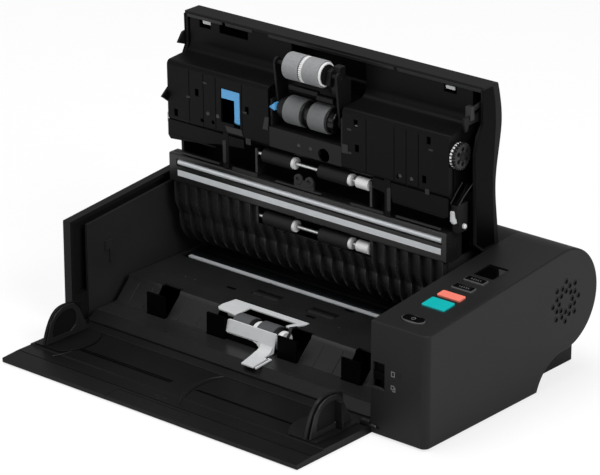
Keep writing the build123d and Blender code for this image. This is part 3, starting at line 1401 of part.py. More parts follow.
def tray_section():
    return polygon((TRAY_FRONT_Y + 1, TRAY_Z0), (TRAY_REAR_Y, TRAY_Z0),
                   (TRAY_REAR_Y, TRAY_TOP - 2 * TRAY_LIP_T),
                   (TRAY_LIP_Y, TRAY_TOP - TRAY_LIP_T), (TRAY_LIP_Y, TRAY_TOP),
                   (TRAY_STEP_Y, TRAY_TOP), (TRAY_STEP_Y - 1, TRAY_FRONT_TOP), (TRAY_BORDER_Y,
                                                                                TRAY_FRONT_TOP),
                   (TRAY_FRONT_Y, TRAY_EDGE_TOP), (TRAY_FRONT_Y, TRAY_Z0 + 1))


def tray_hollow():
    z0 = TRAY_Z0 + TRAY_FLOOR_T
    front = TRAY_FRONT_TOP - TRAY_SKIN
    main = TRAY_TOP - TRAY_SKIN
    return polygon((TRAY_FRONT_Y + EXT_BAR_L, z0), (TRAY_REAR_Y - TRAY_KNUCKLE_R * 2, z0),
                   (TRAY_REAR_Y - TRAY_KNUCKLE_R * 2, main), (TRAY_STEP_Y + TRAY_WALL, main),
                   (TRAY_STEP_Y + TRAY_WALL, front), (TRAY_FRONT_Y + EXT_BAR_L, front))


def mirrored_x(side, x0, x1):
    """Range measured outwards from the centre line, as model coordinates."""
    a = CENTRE_X + side * x0
    b = CENTRE_X + side * x1
    return min(a, b), max(a, b)


def stem_reach():
    return GUIDE_HALF - RACK_STEM_IN


def tray_panel():
    tray = slab(tray_section(), TRAY_X0, TRAY_X1)
    tray -= slab(tray_hollow(), TRAY_X0 + TRAY_WALL, TRAY_X1 - TRAY_WALL)
    ext_x0 = CENTRE_X - EXT_W / 2
    ext_x1 = CENTRE_X + EXT_W / 2
    tray -= block(ext_x0 - SLIDE, ext_x1 + SLIDE, TRAY_FRONT_Y - 1, TRAY_FRONT_Y + EXT_BAR_L + SLIDE, 0,
                  TRAY_TOP)
    for side in (-1, 1):
        x0, x1 = mirrored_x(side, stem_reach() - GUIDE_TRAVEL - RACK_STEM_W / 2 - MOVE,
                            stem_reach() + RACK_STEM_W / 2 + MOVE)
        tray -= block(x0, x1, RACK_LINE_Y - RACK_SLOT_W / 2, RACK_LINE_Y + RACK_SLOT_W / 2,
                      TRAY_FRONT_TOP - TRAY_SKIN,
                      TRAY_TOP + 1)
    groove = Pos(ARC_X + ARC_R, (TRAY_STEP_Y + TRAY_REAR_Y) / 2, TRAY_TOP) * (
        Cylinder(ARC_R, 2 * SEAM_T) - Cylinder(ARC_R - SEAM_W, 2 * SEAM_T))
    tray -= groove & block(ARC_X - 1, ARC_X + ARC_R / 4, TRAY_STEP_Y, TRAY_REAR_Y, 0, TRAY_TOP + 1)
    tray -= block(TRAY_X0 + 1, TRAY_X1 - 1, TRAY_BORDER_Y - SEAM_W / 2, TRAY_BORDER_Y + SEAM_W / 2,
                  TRAY_FRONT_TOP - SEAM_T, TRAY_TOP)
    pin_h = TRAY_TOP - TRAY_SKIN / 2 - rack_z()
    tray += Pos(CENTRE_X, RACK_LINE_Y, rack_z() + pin_h / 2) * Cylinder(PINION_PIN_R, pin_h)
    for x0 in (TRAY_X0, TRAY_X1 - TRAY_KNUCKLE_L):
        x1 = x0 + TRAY_KNUCKLE_L
        tray += rod(x0, x1, TRAY_HINGE_Y, TRAY_HINGE_Z, TRAY_KNUCKLE_R)
        tray -= rod(x0 - 1, x1 + 1, TRAY_HINGE_Y, TRAY_HINGE_Z, TRAY_PIN_R + RUN)
    return tray


def tray_extension():
    x0 = CENTRE_X - EXT_W / 2
    x1 = CENTRE_X + EXT_W / 2
    bar = slab(tray_section(), x0, x1) & block(x0, x1, TRAY_FRONT_Y - 1, TRAY_FRONT_Y + EXT_BAR_L, 0,
                                               TRAY_TOP)
    z0 = TRAY_Z0 + TRAY_FLOOR_T + SLIDE
    plate = block(x0 + 2, x1 - 2, TRAY_FRONT_Y + EXT_BAR_L - 2, EXT_PLATE_END_Y, z0, z0 + EXT_PLATE_T)
    return bar + plate


def fin_outline():
    z0 = TRAY_TOP + SEAT + BASE_T
    top = TRAY_TOP + FIN_H
    front = Spline((FIN_FRONT_Y, z0), (FIN_FRONT_Y + 5, z0 + FIN_H * 0.45), (FIN_FRONT_Y + 17, top - 2),
                   (FIN_FRONT_Y + 32, top), (FIN_REAR_Y - 8.5, top - 4))
    back = Polyline((FIN_REAR_Y - 8.5, top - 4), (FIN_REAR_Y - 6.5, z0 + 14), (FIN_REAR_Y, z0 + 1),
                    (FIN_REAR_Y, z0),
                    (FIN_FRONT_Y, z0))
    return make_face(front + back)


def rack_teeth(x0, x1, y, side):
    """Row of rack teeth on one side of a bar, in step with the pinion."""
    pitch = math.pi * MODULE
    half_pitch = pitch / 4 - TOOTH_BACKLASH / 2
    first = math.ceil((x0 + half_pitch * 2 - CENTRE_X) / pitch - 0.5)
    last = math.floor((x1 - half_pitch * 2 - CENTRE_X) / pitch - 0.5)
    z0 = rack_z()
    teeth = None
    for i in range(first, last + 1):
        x = CENTRE_X + (i + 0.5) * pitch
        face = polygon((x - half_pitch * 1.5, y), (x + half_pitch * 1.5, y),
                       (x + half_pitch * 0.5, y + side * 1.9 * MODULE), (x - half_pitch * 0.5,
                                                                         y + side * 1.9 * MODULE))
        tooth = extrude(Plane.XY.offset(z0) * face, amount=RACK_T)
        teeth = tooth if teeth is None else teeth + tooth
    return teeth


def rack_z():
    return TRAY_Z0 + RACK_LIFT - SLIDE / 2


def paper_guide(side):
    """Fin on a base plate, with a rack under the tray's skin; side is 1 right, -1 left."""
    inner = GUIDE_HALF
    z_base = TRAY_TOP + SEAT
    x0, x1 = mirrored_x(side, inner, inner + FIN_T)
    guide = slab(fin_outline(), x0, x1)
    bx0, bx1 = mirrored_x(side, inner - BASE_REACH + 12, inner + FIN_T + FIN_FLANGE)
    guide += block(bx0, bx1, BASE_FRONT_Y, FIN_REAR_Y, z_base, z_base + BASE_T)
    bow_r = (FIN_REAR_Y - BASE_FRONT_Y) ** 2 / 96 + 6
    bow = Pos(CENTRE_X + side * (inner - BASE_REACH + bow_r), (BASE_FRONT_Y + FIN_REAR_Y) / 2,
              z_base + BASE_T / 2)
    keep = block(min(bx0, CENTRE_X + side * (inner - BASE_REACH)),
                 max(bx1, CENTRE_X + side * (inner - BASE_REACH)),
                 BASE_FRONT_Y, FIN_REAR_Y, z_base, z_base + BASE_T)
    guide += (bow * Cylinder(bow_r, BASE_T)) & keep
    gx0, gx1 = mirrored_x(side, inner + FIN_T, inner + FIN_T + FIN_FLANGE)
    gusset = block(gx0, gx1, FIN_GUSSET_Y, FIN_GUSSET_Y + FIN_GUSSET_T, z_base, z_base + FIN_H * 0.8)
    guide += gusset
    sx0, sx1 = mirrored_x(side, stem_reach() - RACK_STEM_W / 2, stem_reach() + RACK_STEM_W / 2)
    half = RACK_SLOT_W / 2 - SLIDE
    z0 = rack_z()
    guide += block(sx0, sx1, RACK_LINE_Y - half, RACK_LINE_Y + half, z0, z_base)
    bar_side = -side
    rx0, rx1 = mirrored_x(side, -RACK_OVERRUN, stem_reach() + RACK_STEM_W / 2)
    root_y = RACK_LINE_Y + bar_side * (RACK_Y + 1.0 * MODULE)
    edge_y = root_y + bar_side * RACK_W
    guide += block(rx0, rx1, min(root_y, edge_y), max(root_y, edge_y), z0, z0 + RACK_T)
    guide += block(sx0, sx1, min(RACK_LINE_Y - half, edge_y), max(RACK_LINE_Y + half, edge_y), z0,
                   z0 + RACK_T)
    teeth_x0, teeth_x1 = (rx0, sx0 - 1) if side > 0 else (sx1 + 1, rx1)
    guide += rack_teeth(teeth_x0, teeth_x1, root_y, -bar_side)
    return guide


def guide_pinion():
    teeth = round(2 * RACK_Y / MODULE)
    pitch_angle = math.tau / teeth
    root = RACK_Y - 1.1 * MODULE
    tip = RACK_Y + 0.8 * MODULE
    tooth = math.pi * MODULE / 2 - TOOTH_BACKLASH
    points = []
    for i in range(teeth):
        a = math.pi / 2 + i * pitch_angle
        for r, w in ((root, 1.25), (tip, 0.5)):
            points.append((r, a - w * tooth / 2 / r))
        for r, w in ((tip, 0.5), (root, 1.25)):
            points.append((r, a + w * tooth / 2 / r))
    face = polygon(*[(r * math.cos(a), r * math.sin(a)) for r, a in points]) - Circle(PINION_PIN_R + RUN)
    return Pos(CENTRE_X, RACK_LINE_Y, rack_z()) * extrude(face, amount=RACK_T)


NODES = {
    "left_side_panel": left_side_panel,
    "left_inner_frame": left_inner_frame,
    "right_housing": right_housing,
    "right_inner_frame": right_inner_frame,
    "base_chassis": base_chassis,
    "lower_bed": lower_bed,
    "outer_turn_guide": outer_turn_guide,
    "rear_shell": rear_shell,
    "rear_lower_casing": rear_lower_casing,
    "rear_sockets": rear_sockets,
    "rubber_feet": rubber_feet,
    "lower_scan_sensor": lower_scan_sensor,
    "lower_scan_glass": lower_scan_glass,
    "lower_white_strip": lower_white_strip,
    "display_window": display_window,
    "main_board": main_board,
    "speaker": speaker,
    "drive_motor": drive_motor,
    "cover_hinge_pins": cover_hinge_pins,
    "tray_hinge_pins": tray_hinge_pins,
    "power_button": power_button,
    "start_button": start_button,
    "stop_button": stop_button,
    "mode_key_front": lambda: mode_key(0),
    "mode_key_rear": lambda: mode_key(1),
    "path_lever": path_lever,
    "path_flap": path_flap,
    "stopper_flaps": stopper_flaps,
    "retard_shaft": retard_shaft,
    "retard_rollers": retard_rollers,
    "retard_cover": retard_cover,
    "registration_idlers": lambda: idlers(REG_Y),
    "exit_idlers": lambda: idlers(EXIT_Y),
    "tray_panel": tray_panel,
    "tray_extension": tray_extension,
    "left_paper_guide": lambda: paper_guide(-1),
    "right_paper_guide": lambda: paper_guide(1),
    "guide_pinion": guide_pinion,
    "top_cover": top_cover,
    "inner_guide": inner_guide,
    "roller_bracket": roller_bracket,
    "upper_scan_box": upper_scan_box,
    "upper_white_strip": upper_white_strip,
    "platen_roller": platen_roller,
    "feed_shaft": feed_shaft,
    "feed_hubs": feed_hubs,
    "feed_rollers": feed_rollers,
    "feed_gear": feed_gear,
    "pickup_arm": pickup_arm,
    "pickup_hub": pickup_hub,
    "pickup_rollers": pickup_rollers,
    "registration_shaft": lambda: opened(nip_shaft(REG_Y)),
    "registration_rollers": lambda: opened(nip_rollers(REG_Y)),
    "registration_hubs": lambda: opened(nip_hubs(REG_Y)),
    "exit_shaft": lambda: opened(nip_shaft(EXIT_Y)),
    "exit_rollers": lambda: opened(nip_rollers(EXIT_Y)),
    "exit_hubs": lambda: opened(nip_hubs(EXIT_Y)),
    "release_lever": release_lever,
    "latch_hooks": latch_hooks,
    "turn_guide": turn_guide,
}


def main():
    os.makedirs("parts", exist_ok=True)
    for name, make in NODES.items():
        part = Pos(0, FOOTPRINT_SHIFT_Y, 0) * make()
        part.label = name
        export_step(part, f"parts/{name}.step")


if __name__ == "__main__":
    main()
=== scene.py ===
"""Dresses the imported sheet-fed scanner: housing, paper path, rollers, raised cover and lowered tray."""

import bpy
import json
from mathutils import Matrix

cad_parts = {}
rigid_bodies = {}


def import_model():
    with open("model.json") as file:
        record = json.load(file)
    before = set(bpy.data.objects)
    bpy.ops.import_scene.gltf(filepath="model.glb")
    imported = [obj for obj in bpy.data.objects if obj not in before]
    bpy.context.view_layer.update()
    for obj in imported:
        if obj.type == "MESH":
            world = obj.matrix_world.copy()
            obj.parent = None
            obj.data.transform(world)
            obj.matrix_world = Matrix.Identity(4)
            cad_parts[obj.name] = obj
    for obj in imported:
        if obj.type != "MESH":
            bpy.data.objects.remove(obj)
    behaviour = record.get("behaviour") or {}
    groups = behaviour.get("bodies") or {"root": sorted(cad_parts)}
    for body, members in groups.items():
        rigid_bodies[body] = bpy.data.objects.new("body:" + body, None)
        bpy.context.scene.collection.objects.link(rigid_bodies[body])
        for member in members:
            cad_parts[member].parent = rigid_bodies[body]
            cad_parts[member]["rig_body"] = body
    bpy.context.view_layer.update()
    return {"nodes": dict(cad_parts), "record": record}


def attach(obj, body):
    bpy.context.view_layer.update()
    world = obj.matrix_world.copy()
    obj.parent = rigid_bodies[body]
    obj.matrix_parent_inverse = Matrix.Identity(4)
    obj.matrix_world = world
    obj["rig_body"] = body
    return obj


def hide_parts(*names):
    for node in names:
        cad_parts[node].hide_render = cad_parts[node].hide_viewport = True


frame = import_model()
SLOTS = {part["node"]: part["material_slot"] for part in frame["record"]["subparts"]}

import json
import logging
import math
from dataclasses import dataclass
from enum import Enum
from typing import Any, Sequence

import bmesh
import bpy
from mathutils import Matrix, Vector

LOG = logging.getLogger("scanner")
MM = 0.001
SHIFT_Y = -74.1
HINGE = Vector((0, 178.8, 96.75))
SWING = math.radians(89.0)
REAR_ROUND = (197.3, 76.9)
FRONT_H = 105.5
TOP_ANGLE = math.radians(5.654)
WELD_M = 2e-6
FLAT_ANGLE = math.radians(0.6)
BEVEL_ANGLE = math.radians(30.0)
SHARP_ANGLE = math.radians(42.0)
NORMAL_WEIGHT = 60
UPRIGHT = 0.1
Socket = bpy.types.NodeSocket
Point2 = tuple[float, float]
Point3 = tuple[float, float, float]
Colour = tuple[float, float, float]
Loop = Sequence[Point2]
Pairs = Sequence[Point2]
Area = tuple[Point2, Point2]
Areas = Sequence[Area]
Named = Sequence[tuple[str, float]]


class Stand(Enum):
    """How a mesh is placed: drawn in the frame, on the body, on the sloping top or in the closed cover."""

    FRAME = "frame"
    BODY = "body"
    COVER = "cover"
    SLOPE = "slope"

    def matrix(self) -> Matrix:
        """Returns:
            The move from the drawing to the frame's metres; the cover's swings it open.
        """
        if self is Stand.FRAME:
            return Matrix()
        place = Matrix.Scale(MM, 4) @ Matrix.Translation((0, SHIFT_Y, 0))
        if self is Stand.BODY:
            return place
        if self is Stand.SLOPE:
            return place @ Matrix.Translation((0, 0, FRONT_H)) @ Matrix.Rotation(TOP_ANGLE, 4, "X")
        swing = Matrix.Translation(HINGE) @ Matrix.Rotation(-SWING, 4, "X") @ Matrix.Translation(-HINGE)
        return place @ swing


# Finishes

class Coat:
    """Node tree of one material, or of the surroundings."""

    def __init__(self, owner: Any, output: str = "ShaderNodeOutputMaterial") -> None:
        """Args:
            owner: the material or world.
            output: the kind of its last node.
        """
        owner.use_nodes = True
        self.owner = owner
        self.output = output
        self.tree = owner.node_tree
        self.tree.nodes.clear()
        self.place: bpy.types.Node | None = None

    @classmethod
    def named(cls, name: str) -> "Coat":
        """Returns the tree of a new material with that name."""
        return cls(bpy.data.materials.new(name))

    def add(self, kind: str, settings: dict[str, Any] | None = None, inputs: dict[Any, Any] | None = None) -> Any:
        """Adds a node.

        Args:
            kind: Blender's node type.
            settings: its own settings.
            inputs: values or output sockets by input name, identifier or index.

        Returns:
            The node.
        """
        node = self.tree.nodes.new(kind)
        for key, value in (settings or {}).items():
            setattr(node, key, value)
        for key, value in (inputs or {}).items():
            self.feed(self.inlet(node, key), value)
        return node

    @staticmethod
    def inlet(node: Any, key: Any) -> Socket:
        """Returns the node's input with that index, identifier or name."""
        return next((s for s in node.inputs if s.identifier == key), None) or node.inputs[key]

    def feed(self, socket: Socket, value: Any) -> None:
        """Sets or links an input.

        Args:
            socket: the input.
            value: a plain value or an output socket.
        """
        if isinstance(value, bpy.types.NodeSocket):
            self.tree.links.new(value, socket)
        else:
            socket.default_value = (*value, 1.0) if socket.type == "RGBA" else value

    def where(self) -> Socket:
        """Returns object coordinates, in metres."""
        self.place = self.place or self.add("ShaderNodeTexCoord")
        return self.place.outputs["Object"]

    def plus(self, base: Any, share: Socket, times: float) -> Socket:
        """Returns a base, plus a share times a number."""
        return self.add("ShaderNodeMath", {"operation": "MULTIPLY_ADD"}, {0: share, 1: times, 2: base}).outputs[0]

    def about(self, middle: float, *spreads: tuple[Socket, float]) -> Any:
        """Args:
            middle: the value's middle.
            spreads: (share between 0 and 1, spread) pairs.

        Returns:
            The value that varies about its middle by them.
        """
        value: Any = middle - sum(spread for _, spread in spreads) / 2
        for share, spread in spreads:
            value = self.plus(value, share, spread)
        return value

    def cloud(self, size_mm: float, detail: float = 2.0, stretch: Point3 | None = None) -> Socket:
        """Args:
            size_mm: the size of the noise's patches.
            detail: its octaves.
            stretch: scale along each axis, if it isn't even.

        Returns:
            Noise between 0 and 1.
        """
        spot = self.where()
        if stretch:
            spot = self.add("ShaderNodeVectorMath", {"operation": "MULTIPLY"}, {0: spot, 1: stretch}).outputs[0]
        return self.add("ShaderNodeTexNoise", None,
                        {"Vector": spot, "Scale": 1.0 / (size_mm * MM), "Detail": detail}).outputs[0]

    def pebbles(self, size_mm: float) -> Socket:
        """Args:
            size_mm: the size of one pebble of the moulded grain.

        Returns:
            Distance from the pebbles' middles.
        """
        return self.add("ShaderNodeTexVoronoi", None,
                        {"Vector": self.where(), "Scale": 1.0 / (size_mm * MM)}).outputs[0]

    def tint(self, share: Socket, colour: Colour, tones: Point2) -> Socket:
        """Args:
            share: a share between 0 and 1.
            colour: the colour.
            tones: what the colour is multiplied by at share 0 and at share 1.

        Returns:
            The colour, lighter and darker by the share.
        """
        low, high = (tuple(min(1.0, c * tone) for c in colour) for tone in tones)
        node = self.add("ShaderNodeMix", {"data_type": "RGBA"},
                        {"Factor_Float": share, "A_Color": low, "B_Color": high})
        return next(s for s in node.outputs if s.identifier == "Result_Color")

    def relief(self, height: Socket, depth_mm: float) -> Socket:
        """Returns a normal bent by a height."""
        return self.add("ShaderNodeBump", None,
                        {"Height": height, "Distance": depth_mm * MM, "Strength": 1.0}).outputs[0]

    def mix(self, share: Any, first: Any, second: Any) -> Any:
        """Returns the node that mixes two shader nodes by a share."""
        return self.add("ShaderNodeMixShader", None, {0: share, 1: first.outputs[0], 2: second.outputs[0]})

    def end(self, shader: Any) -> Any:
        """Links the last shader node to the output.

        Args:
            shader: the node.

        Returns:
            The material or world.
        """
        self.add(self.output, None, {"Surface": shader.outputs[0]})
        return self.owner

    def close(self, inputs: dict[Any, Any]) -> bpy.types.Material:
        """Ends the tree in a Principled shader with these inputs, and returns the material."""
        return self.end(self.add("ShaderNodeBsdfPrincipled", None, inputs))


@dataclass(frozen=True)
class MouldedPlastic:
    """Injection-moulded plastic with a spark-eroded grain."""

    name: str
    colour: Colour
    rough: float = 0.42
    grain_mm: float = 0.45
    grain_depth: float = 0.03
    unevenness: float = 0.18
    gloss: float = 0.5
    patch_mm: float = 38.0
    patch_wear: float = 0.10
    grain_wear: float = 0.06
    pebble_share: float = 0.6

    def make(self) -> bpy.types.Material:
        """Returns:
            The material.
        """
        coat = Coat.named(self.name)
        patches = coat.cloud(self.patch_mm, 3.0)
        fine = coat.cloud(self.grain_mm, 1.0)
        colour = coat.tint(patches, self.colour, (1.0 - self.unevenness, 1.0 + self.unevenness))
        rough = coat.about(self.rough, (patches, self.patch_wear), (fine, self.grain_wear))
        pebbles = coat.plus(0.0, coat.pebbles(self.grain_mm), self.pebble_share)
        height = coat.plus(pebbles, fine, 1.0 - self.pebble_share)
        return coat.close({"Base Color": colour, "Roughness": rough, "Specular IOR Level": self.gloss,
                           "Normal": coat.relief(height, self.grain_depth)})


@dataclass(frozen=True)
class SmoothPlastic:
    """Polished plastic of the keys, bars and hubs."""

    name: str
    colour: Colour
    rough: float = 0.3
    coat: float = 0.0
    gloss: float = 0.4
    patch_mm: float = 9.0
    patch_wear: float = 0.08
    ripple_mm: float = 0.8
    ripple_depth: float = 0.01
    coat_rough: float = 0.15
    tones: Point2 = (0.93, 1.06)

    def make(self) -> bpy.types.Material:
        """Returns:
            The material.
        """
        coat = Coat.named(self.name)
        patches = coat.cloud(self.patch_mm)
        return coat.close({"Base Color": coat.tint(patches, self.colour, self.tones),
                           "Roughness": coat.about(self.rough, (patches, self.patch_wear)),
                           "Coat Weight": self.coat, "Coat Roughness": self.coat_rough,
                           "Specular IOR Level": self.gloss,
                           "Normal": coat.relief(coat.cloud(self.ripple_mm), self.ripple_depth)})


@dataclass(frozen=True)
class RollerRubber:
    """Rubber of the paper rollers, with dust in its pores."""

    name: str
    colour: Colour
    rough: float = 0.62
    dust_mm: float = 2.2
    dust_wear: float = 0.12
    pore_mm: float = 0.5
    pore_depth: float = 0.03
    gloss: float = 0.16
    tones: Point2 = (0.78, 1.2)

    def make(self) -> bpy.types.Material:
        """Returns:
            The material.
        """
        coat = Coat.named(self.name)
        dust = coat.cloud(self.dust_mm, 4.0)
        return coat.close({"Base Color": coat.tint(dust, self.colour, self.tones),
                           "Roughness": coat.about(self.rough, (dust, self.dust_wear)),
                           "Specular IOR Level": self.gloss,
                           "Normal": coat.relief(coat.pebbles(self.pore_mm), self.pore_depth)})


@dataclass(frozen=True)
class TurnedSteel:
    """Ground or turned steel with fine lines round its axis."""

    name: str
    colour: Colour = (0.56, 0.57, 0.58)
    rough: float = 0.28
    stretch: Point3 = (0.08, 1.0, 1.0)
    line_mm: float = 0.4
    line_wear: float = 0.16
    line_depth: float = 0.006
    tones: Point2 = (0.88, 1.1)

    def make(self) -> bpy.types.Material:
        """Returns:
            The material.
        """
        coat = Coat.named(self.name)
        lines = coat.cloud(self.line_mm, 3.0, self.stretch)
        return coat.close({"Base Color": coat.tint(lines, self.colour, self.tones), "Metallic": 1.0,
                           "Roughness": coat.about(self.rough, (lines, self.line_wear)),
                           "Normal": coat.relief(lines, self.line_depth)})


@dataclass(frozen=True)
class SmokedGlass:
    """Dark window glass over the scan line."""

    name: str
    colour: Colour = (0.006, 0.007, 0.008)
    rough: float = 0.06
    film_mm: float = 14.0
    film_wear: float = 0.06
    gloss: float = 0.6
    tones: Point2 = (1.0, 1.6)

    def make(self) -> bpy.types.Material:
        """Returns:
            The material.
        """
        coat = Coat.named(self.name)
        film = coat.cloud(self.film_mm, 3.0)
        return coat.close({"Base Color": coat.tint(film, self.colour, self.tones),
                           "Roughness": coat.plus(self.rough, film, self.film_wear),
                           "Specular IOR Level": self.gloss})


@dataclass(frozen=True)
class CircuitBoard:
    """Board with copper tracks under green lacquer."""

    name: str
    colour: Colour = (0.02, 0.13, 0.06)
    rough: float = 0.35
    track_scale: float = 220.0
    track_depth: float = 0.03
    tones: Point2 = (1.0, 2.0)

    def make(self) -> bpy.types.Material:
        """Returns:
            The material.
        """
        coat = Coat.named(self.name)
        tracks = coat.add("ShaderNodeTexBrick", None,
                          {"Vector": coat.where(), "Scale": self.track_scale}).outputs["Fac"]
        return coat.close({"Base Color": coat.tint(tracks, self.colour, self.tones),
                           "Roughness": self.rough, "Normal": coat.relief(tracks, self.track_depth)})


class Finish(Enum):
    """The finishes of this scanner, one for each kind of surface."""

    BODY = MouldedPlastic("body_black_grain", (0.007, 0.007, 0.0073), 0.5, 0.55, 0.035, gloss=0.1)
    HOUSING = MouldedPlastic("housing_black_grain", (0.01, 0.0097, 0.0097), 0.5, 0.5, 0.03, gloss=0.16)
    LINING = MouldedPlastic("lining_black", (0.0045, 0.0045, 0.0048), 0.5, 0.6, 0.02, gloss=0.16)
    PATH = MouldedPlastic("path_black", (0.017, 0.017, 0.0172), 0.38, 0.7, 0.015, 0.25, 0.2)
    GUIDE = MouldedPlastic("guide_black_fine_grain", (0.0031, 0.0031, 0.0033), 0.38, 0.6, 0.02, 0.25, 0.07)
    TRAY = MouldedPlastic("tray_black_grain", (0.0048, 0.0048, 0.005), 0.4, 0.5, 0.03, gloss=0.12)
    BED = MouldedPlastic("bed_black", (0.0115, 0.0115, 0.0119), 0.3, 0.7, 0.012, 0.3, 0.3)
    RIBS = MouldedPlastic("rib_black", (0.02, 0.02, 0.02), 0.26, 0.8, 0.01, 0.3, 0.4)
    BOX = MouldedPlastic("scan_box_black", (0.009, 0.009, 0.0096), 0.26, 0.7, 0.01, 0.25, 0.4)
    FIN = MouldedPlastic("fin_black", (0.008, 0.008, 0.0084), 0.36, 0.6, 0.02, 0.22, 0.2)
    # Near-black; besides real black parts, it colours the sheets of painted shade on the cover's side walls and in
    # the gap beside the inner guide.
    CHEEK = MouldedPlastic("cheek_black", (0.0008, 0.0008, 0.0009), 0.42, 0.5, 0.02, gloss=0.03)
    EDGE = MouldedPlastic("edge_grey", (0.013, 0.0131, 0.0136), 0.34, 0.5, 0.01, gloss=0.22)
    BRACKET = MouldedPlastic("bracket_grey_grain", (0.0088, 0.0088, 0.0096), 0.38, 0.6, 0.02, gloss=0.14)
    FINGER = MouldedPlastic("finger_grey", (0.017, 0.017, 0.018), 0.36, 0.6, 0.02, gloss=0.2)
    WINDOW = SmoothPlastic("window_black", (0.0008, 0.0008, 0.001), 0.05, gloss=0.35)
    KEY_WALL = SmoothPlastic("key_wall_grey", (0.056, 0.056, 0.058), 0.34)
    GLOSS = SmoothPlastic("gloss_black_polish", (0.002, 0.002, 0.0026), 0.14, gloss=0.2)
    KEY = SmoothPlastic("key_black_satin", (0.007, 0.007, 0.008), 0.36, gloss=0.3)
    TEAL = SmoothPlastic("start_teal", (0.001, 0.38, 0.38), 0.36, 0.05, 0.3)
    CORAL = SmoothPlastic("stop_coral", (0.78, 0.19, 0.14), 0.36, 0.05, 0.3)
    BLUE = SmoothPlastic("lever_blue", (0.08, 0.34, 0.66), 0.36, 0.1)
    SILVER = SmoothPlastic("silver_grey", (0.52, 0.53, 0.54), 0.38)
    WHITE = SmoothPlastic("white_plastic_satin", (0.66, 0.66, 0.66), 0.36)
    BAR = SmoothPlastic("white_bar_satin", (0.58, 0.6, 0.62), 0.24)
    INK = SmoothPlastic("printed_grey", (0.16, 0.16, 0.16), 0.5)
    RUBBER_LIGHT = RollerRubber("roller_light_grey", (0.232, 0.238, 0.245))
    RUBBER_FEED = RollerRubber("roller_feed_grey", (0.13, 0.136, 0.139))
    RUBBER_MID = RollerRubber("roller_mid_grey", (0.064, 0.066, 0.07))
    RUBBER_DARK = RollerRubber("roller_dark_grey", (0.0085, 0.0088, 0.0095))
    RUBBER_EXIT = RollerRubber("roller_exit_grey", (0.013, 0.0133, 0.014))
    FOOT = RollerRubber("foot_rubber_matt", (0.006, 0.006, 0.006), 0.7)
    STEEL = TurnedSteel("ground_steel")
    DARK_STEEL = TurnedSteel("blued_steel", (0.06, 0.06, 0.065), 0.34)
    GLASS = SmokedGlass("scan_glass")
    BOARD = CircuitBoard("circuit_board")

    def material(self) -> bpy.types.Material:
        """Returns the finish's material, made once."""
        return bpy.data.materials.get(self.value.name) or self.value.make()


# Meshes

def across(axis: str, u: float, v: float, along: float) -> Point3:
    """Returns the point at (u, v) in the plane across an axis: YZ for X, XZ for Y, XY for Z."""
    return {"X": (along, u, v), "Y": (u, along, v), "Z": (u, v, along)}[axis]


def box_loop(x: Point2, y: Point2, inset: float = 0.0) -> list[Point2]:
    """Returns the corners of a rectangle between two ranges, drawn in by an inset."""
    x0, x1, y0, y1 = x[0] + inset, x[1] - inset, y[0] + inset, y[1] - inset
    return [(x0, y0), (x1, y0), (x1, y1), (x0, y1)]


def circle(centre: Point2, radius: float, steps: int) -> list[Point2]:
    """Returns the points of a circle."""
    return [(centre[0] + radius * math.cos(math.tau * i / steps), centre[1] + radius * math.sin(math.tau * i / steps))
            for i in range(steps)]


def oval(centre: Point2, width: float, length: float, corner: float, steps: int = 5) -> list[Point2]:
    """Args:
        centre: its middle.
        width, length: its sides.
        corner: radius of its corners.
        steps: segments of each corner.

    Returns:
        The outline of a rectangle with round corners, anticlockwise.
    """
    points = []
    for sx, sy, start in ((1, 1, 0.0), (-1, 1, 0.5), (-1, -1, 1.0), (1, -1, 1.5)):
        for i in range(steps + 1):
            a = math.pi * (start + 0.5 * i / steps)
            points.append((centre[0] + sx * (width / 2 - corner) + corner * math.cos(a),
                           centre[1] + sy * (length / 2 - corner) + corner * math.sin(a)))
    return points


def gear(centre: Point2, root: float, tip: float, teeth: int) -> list[Point2]:
    """Args:
        centre: its middle.
        root, tip: radii at the teeth's roots and tips.
        teeth: their number.

    Returns:
        The outline of a small gear or knurled ring.
    """
    points = []
    for i in range(teeth):
        for part, radius in ((0.0, root), (0.28, tip), (0.55, tip), (0.83, root)):
            a = math.tau * (i + part) / teeth
            points.append((centre[0] + radius * math.cos(a), centre[1] + radius * math.sin(a)))
    return points


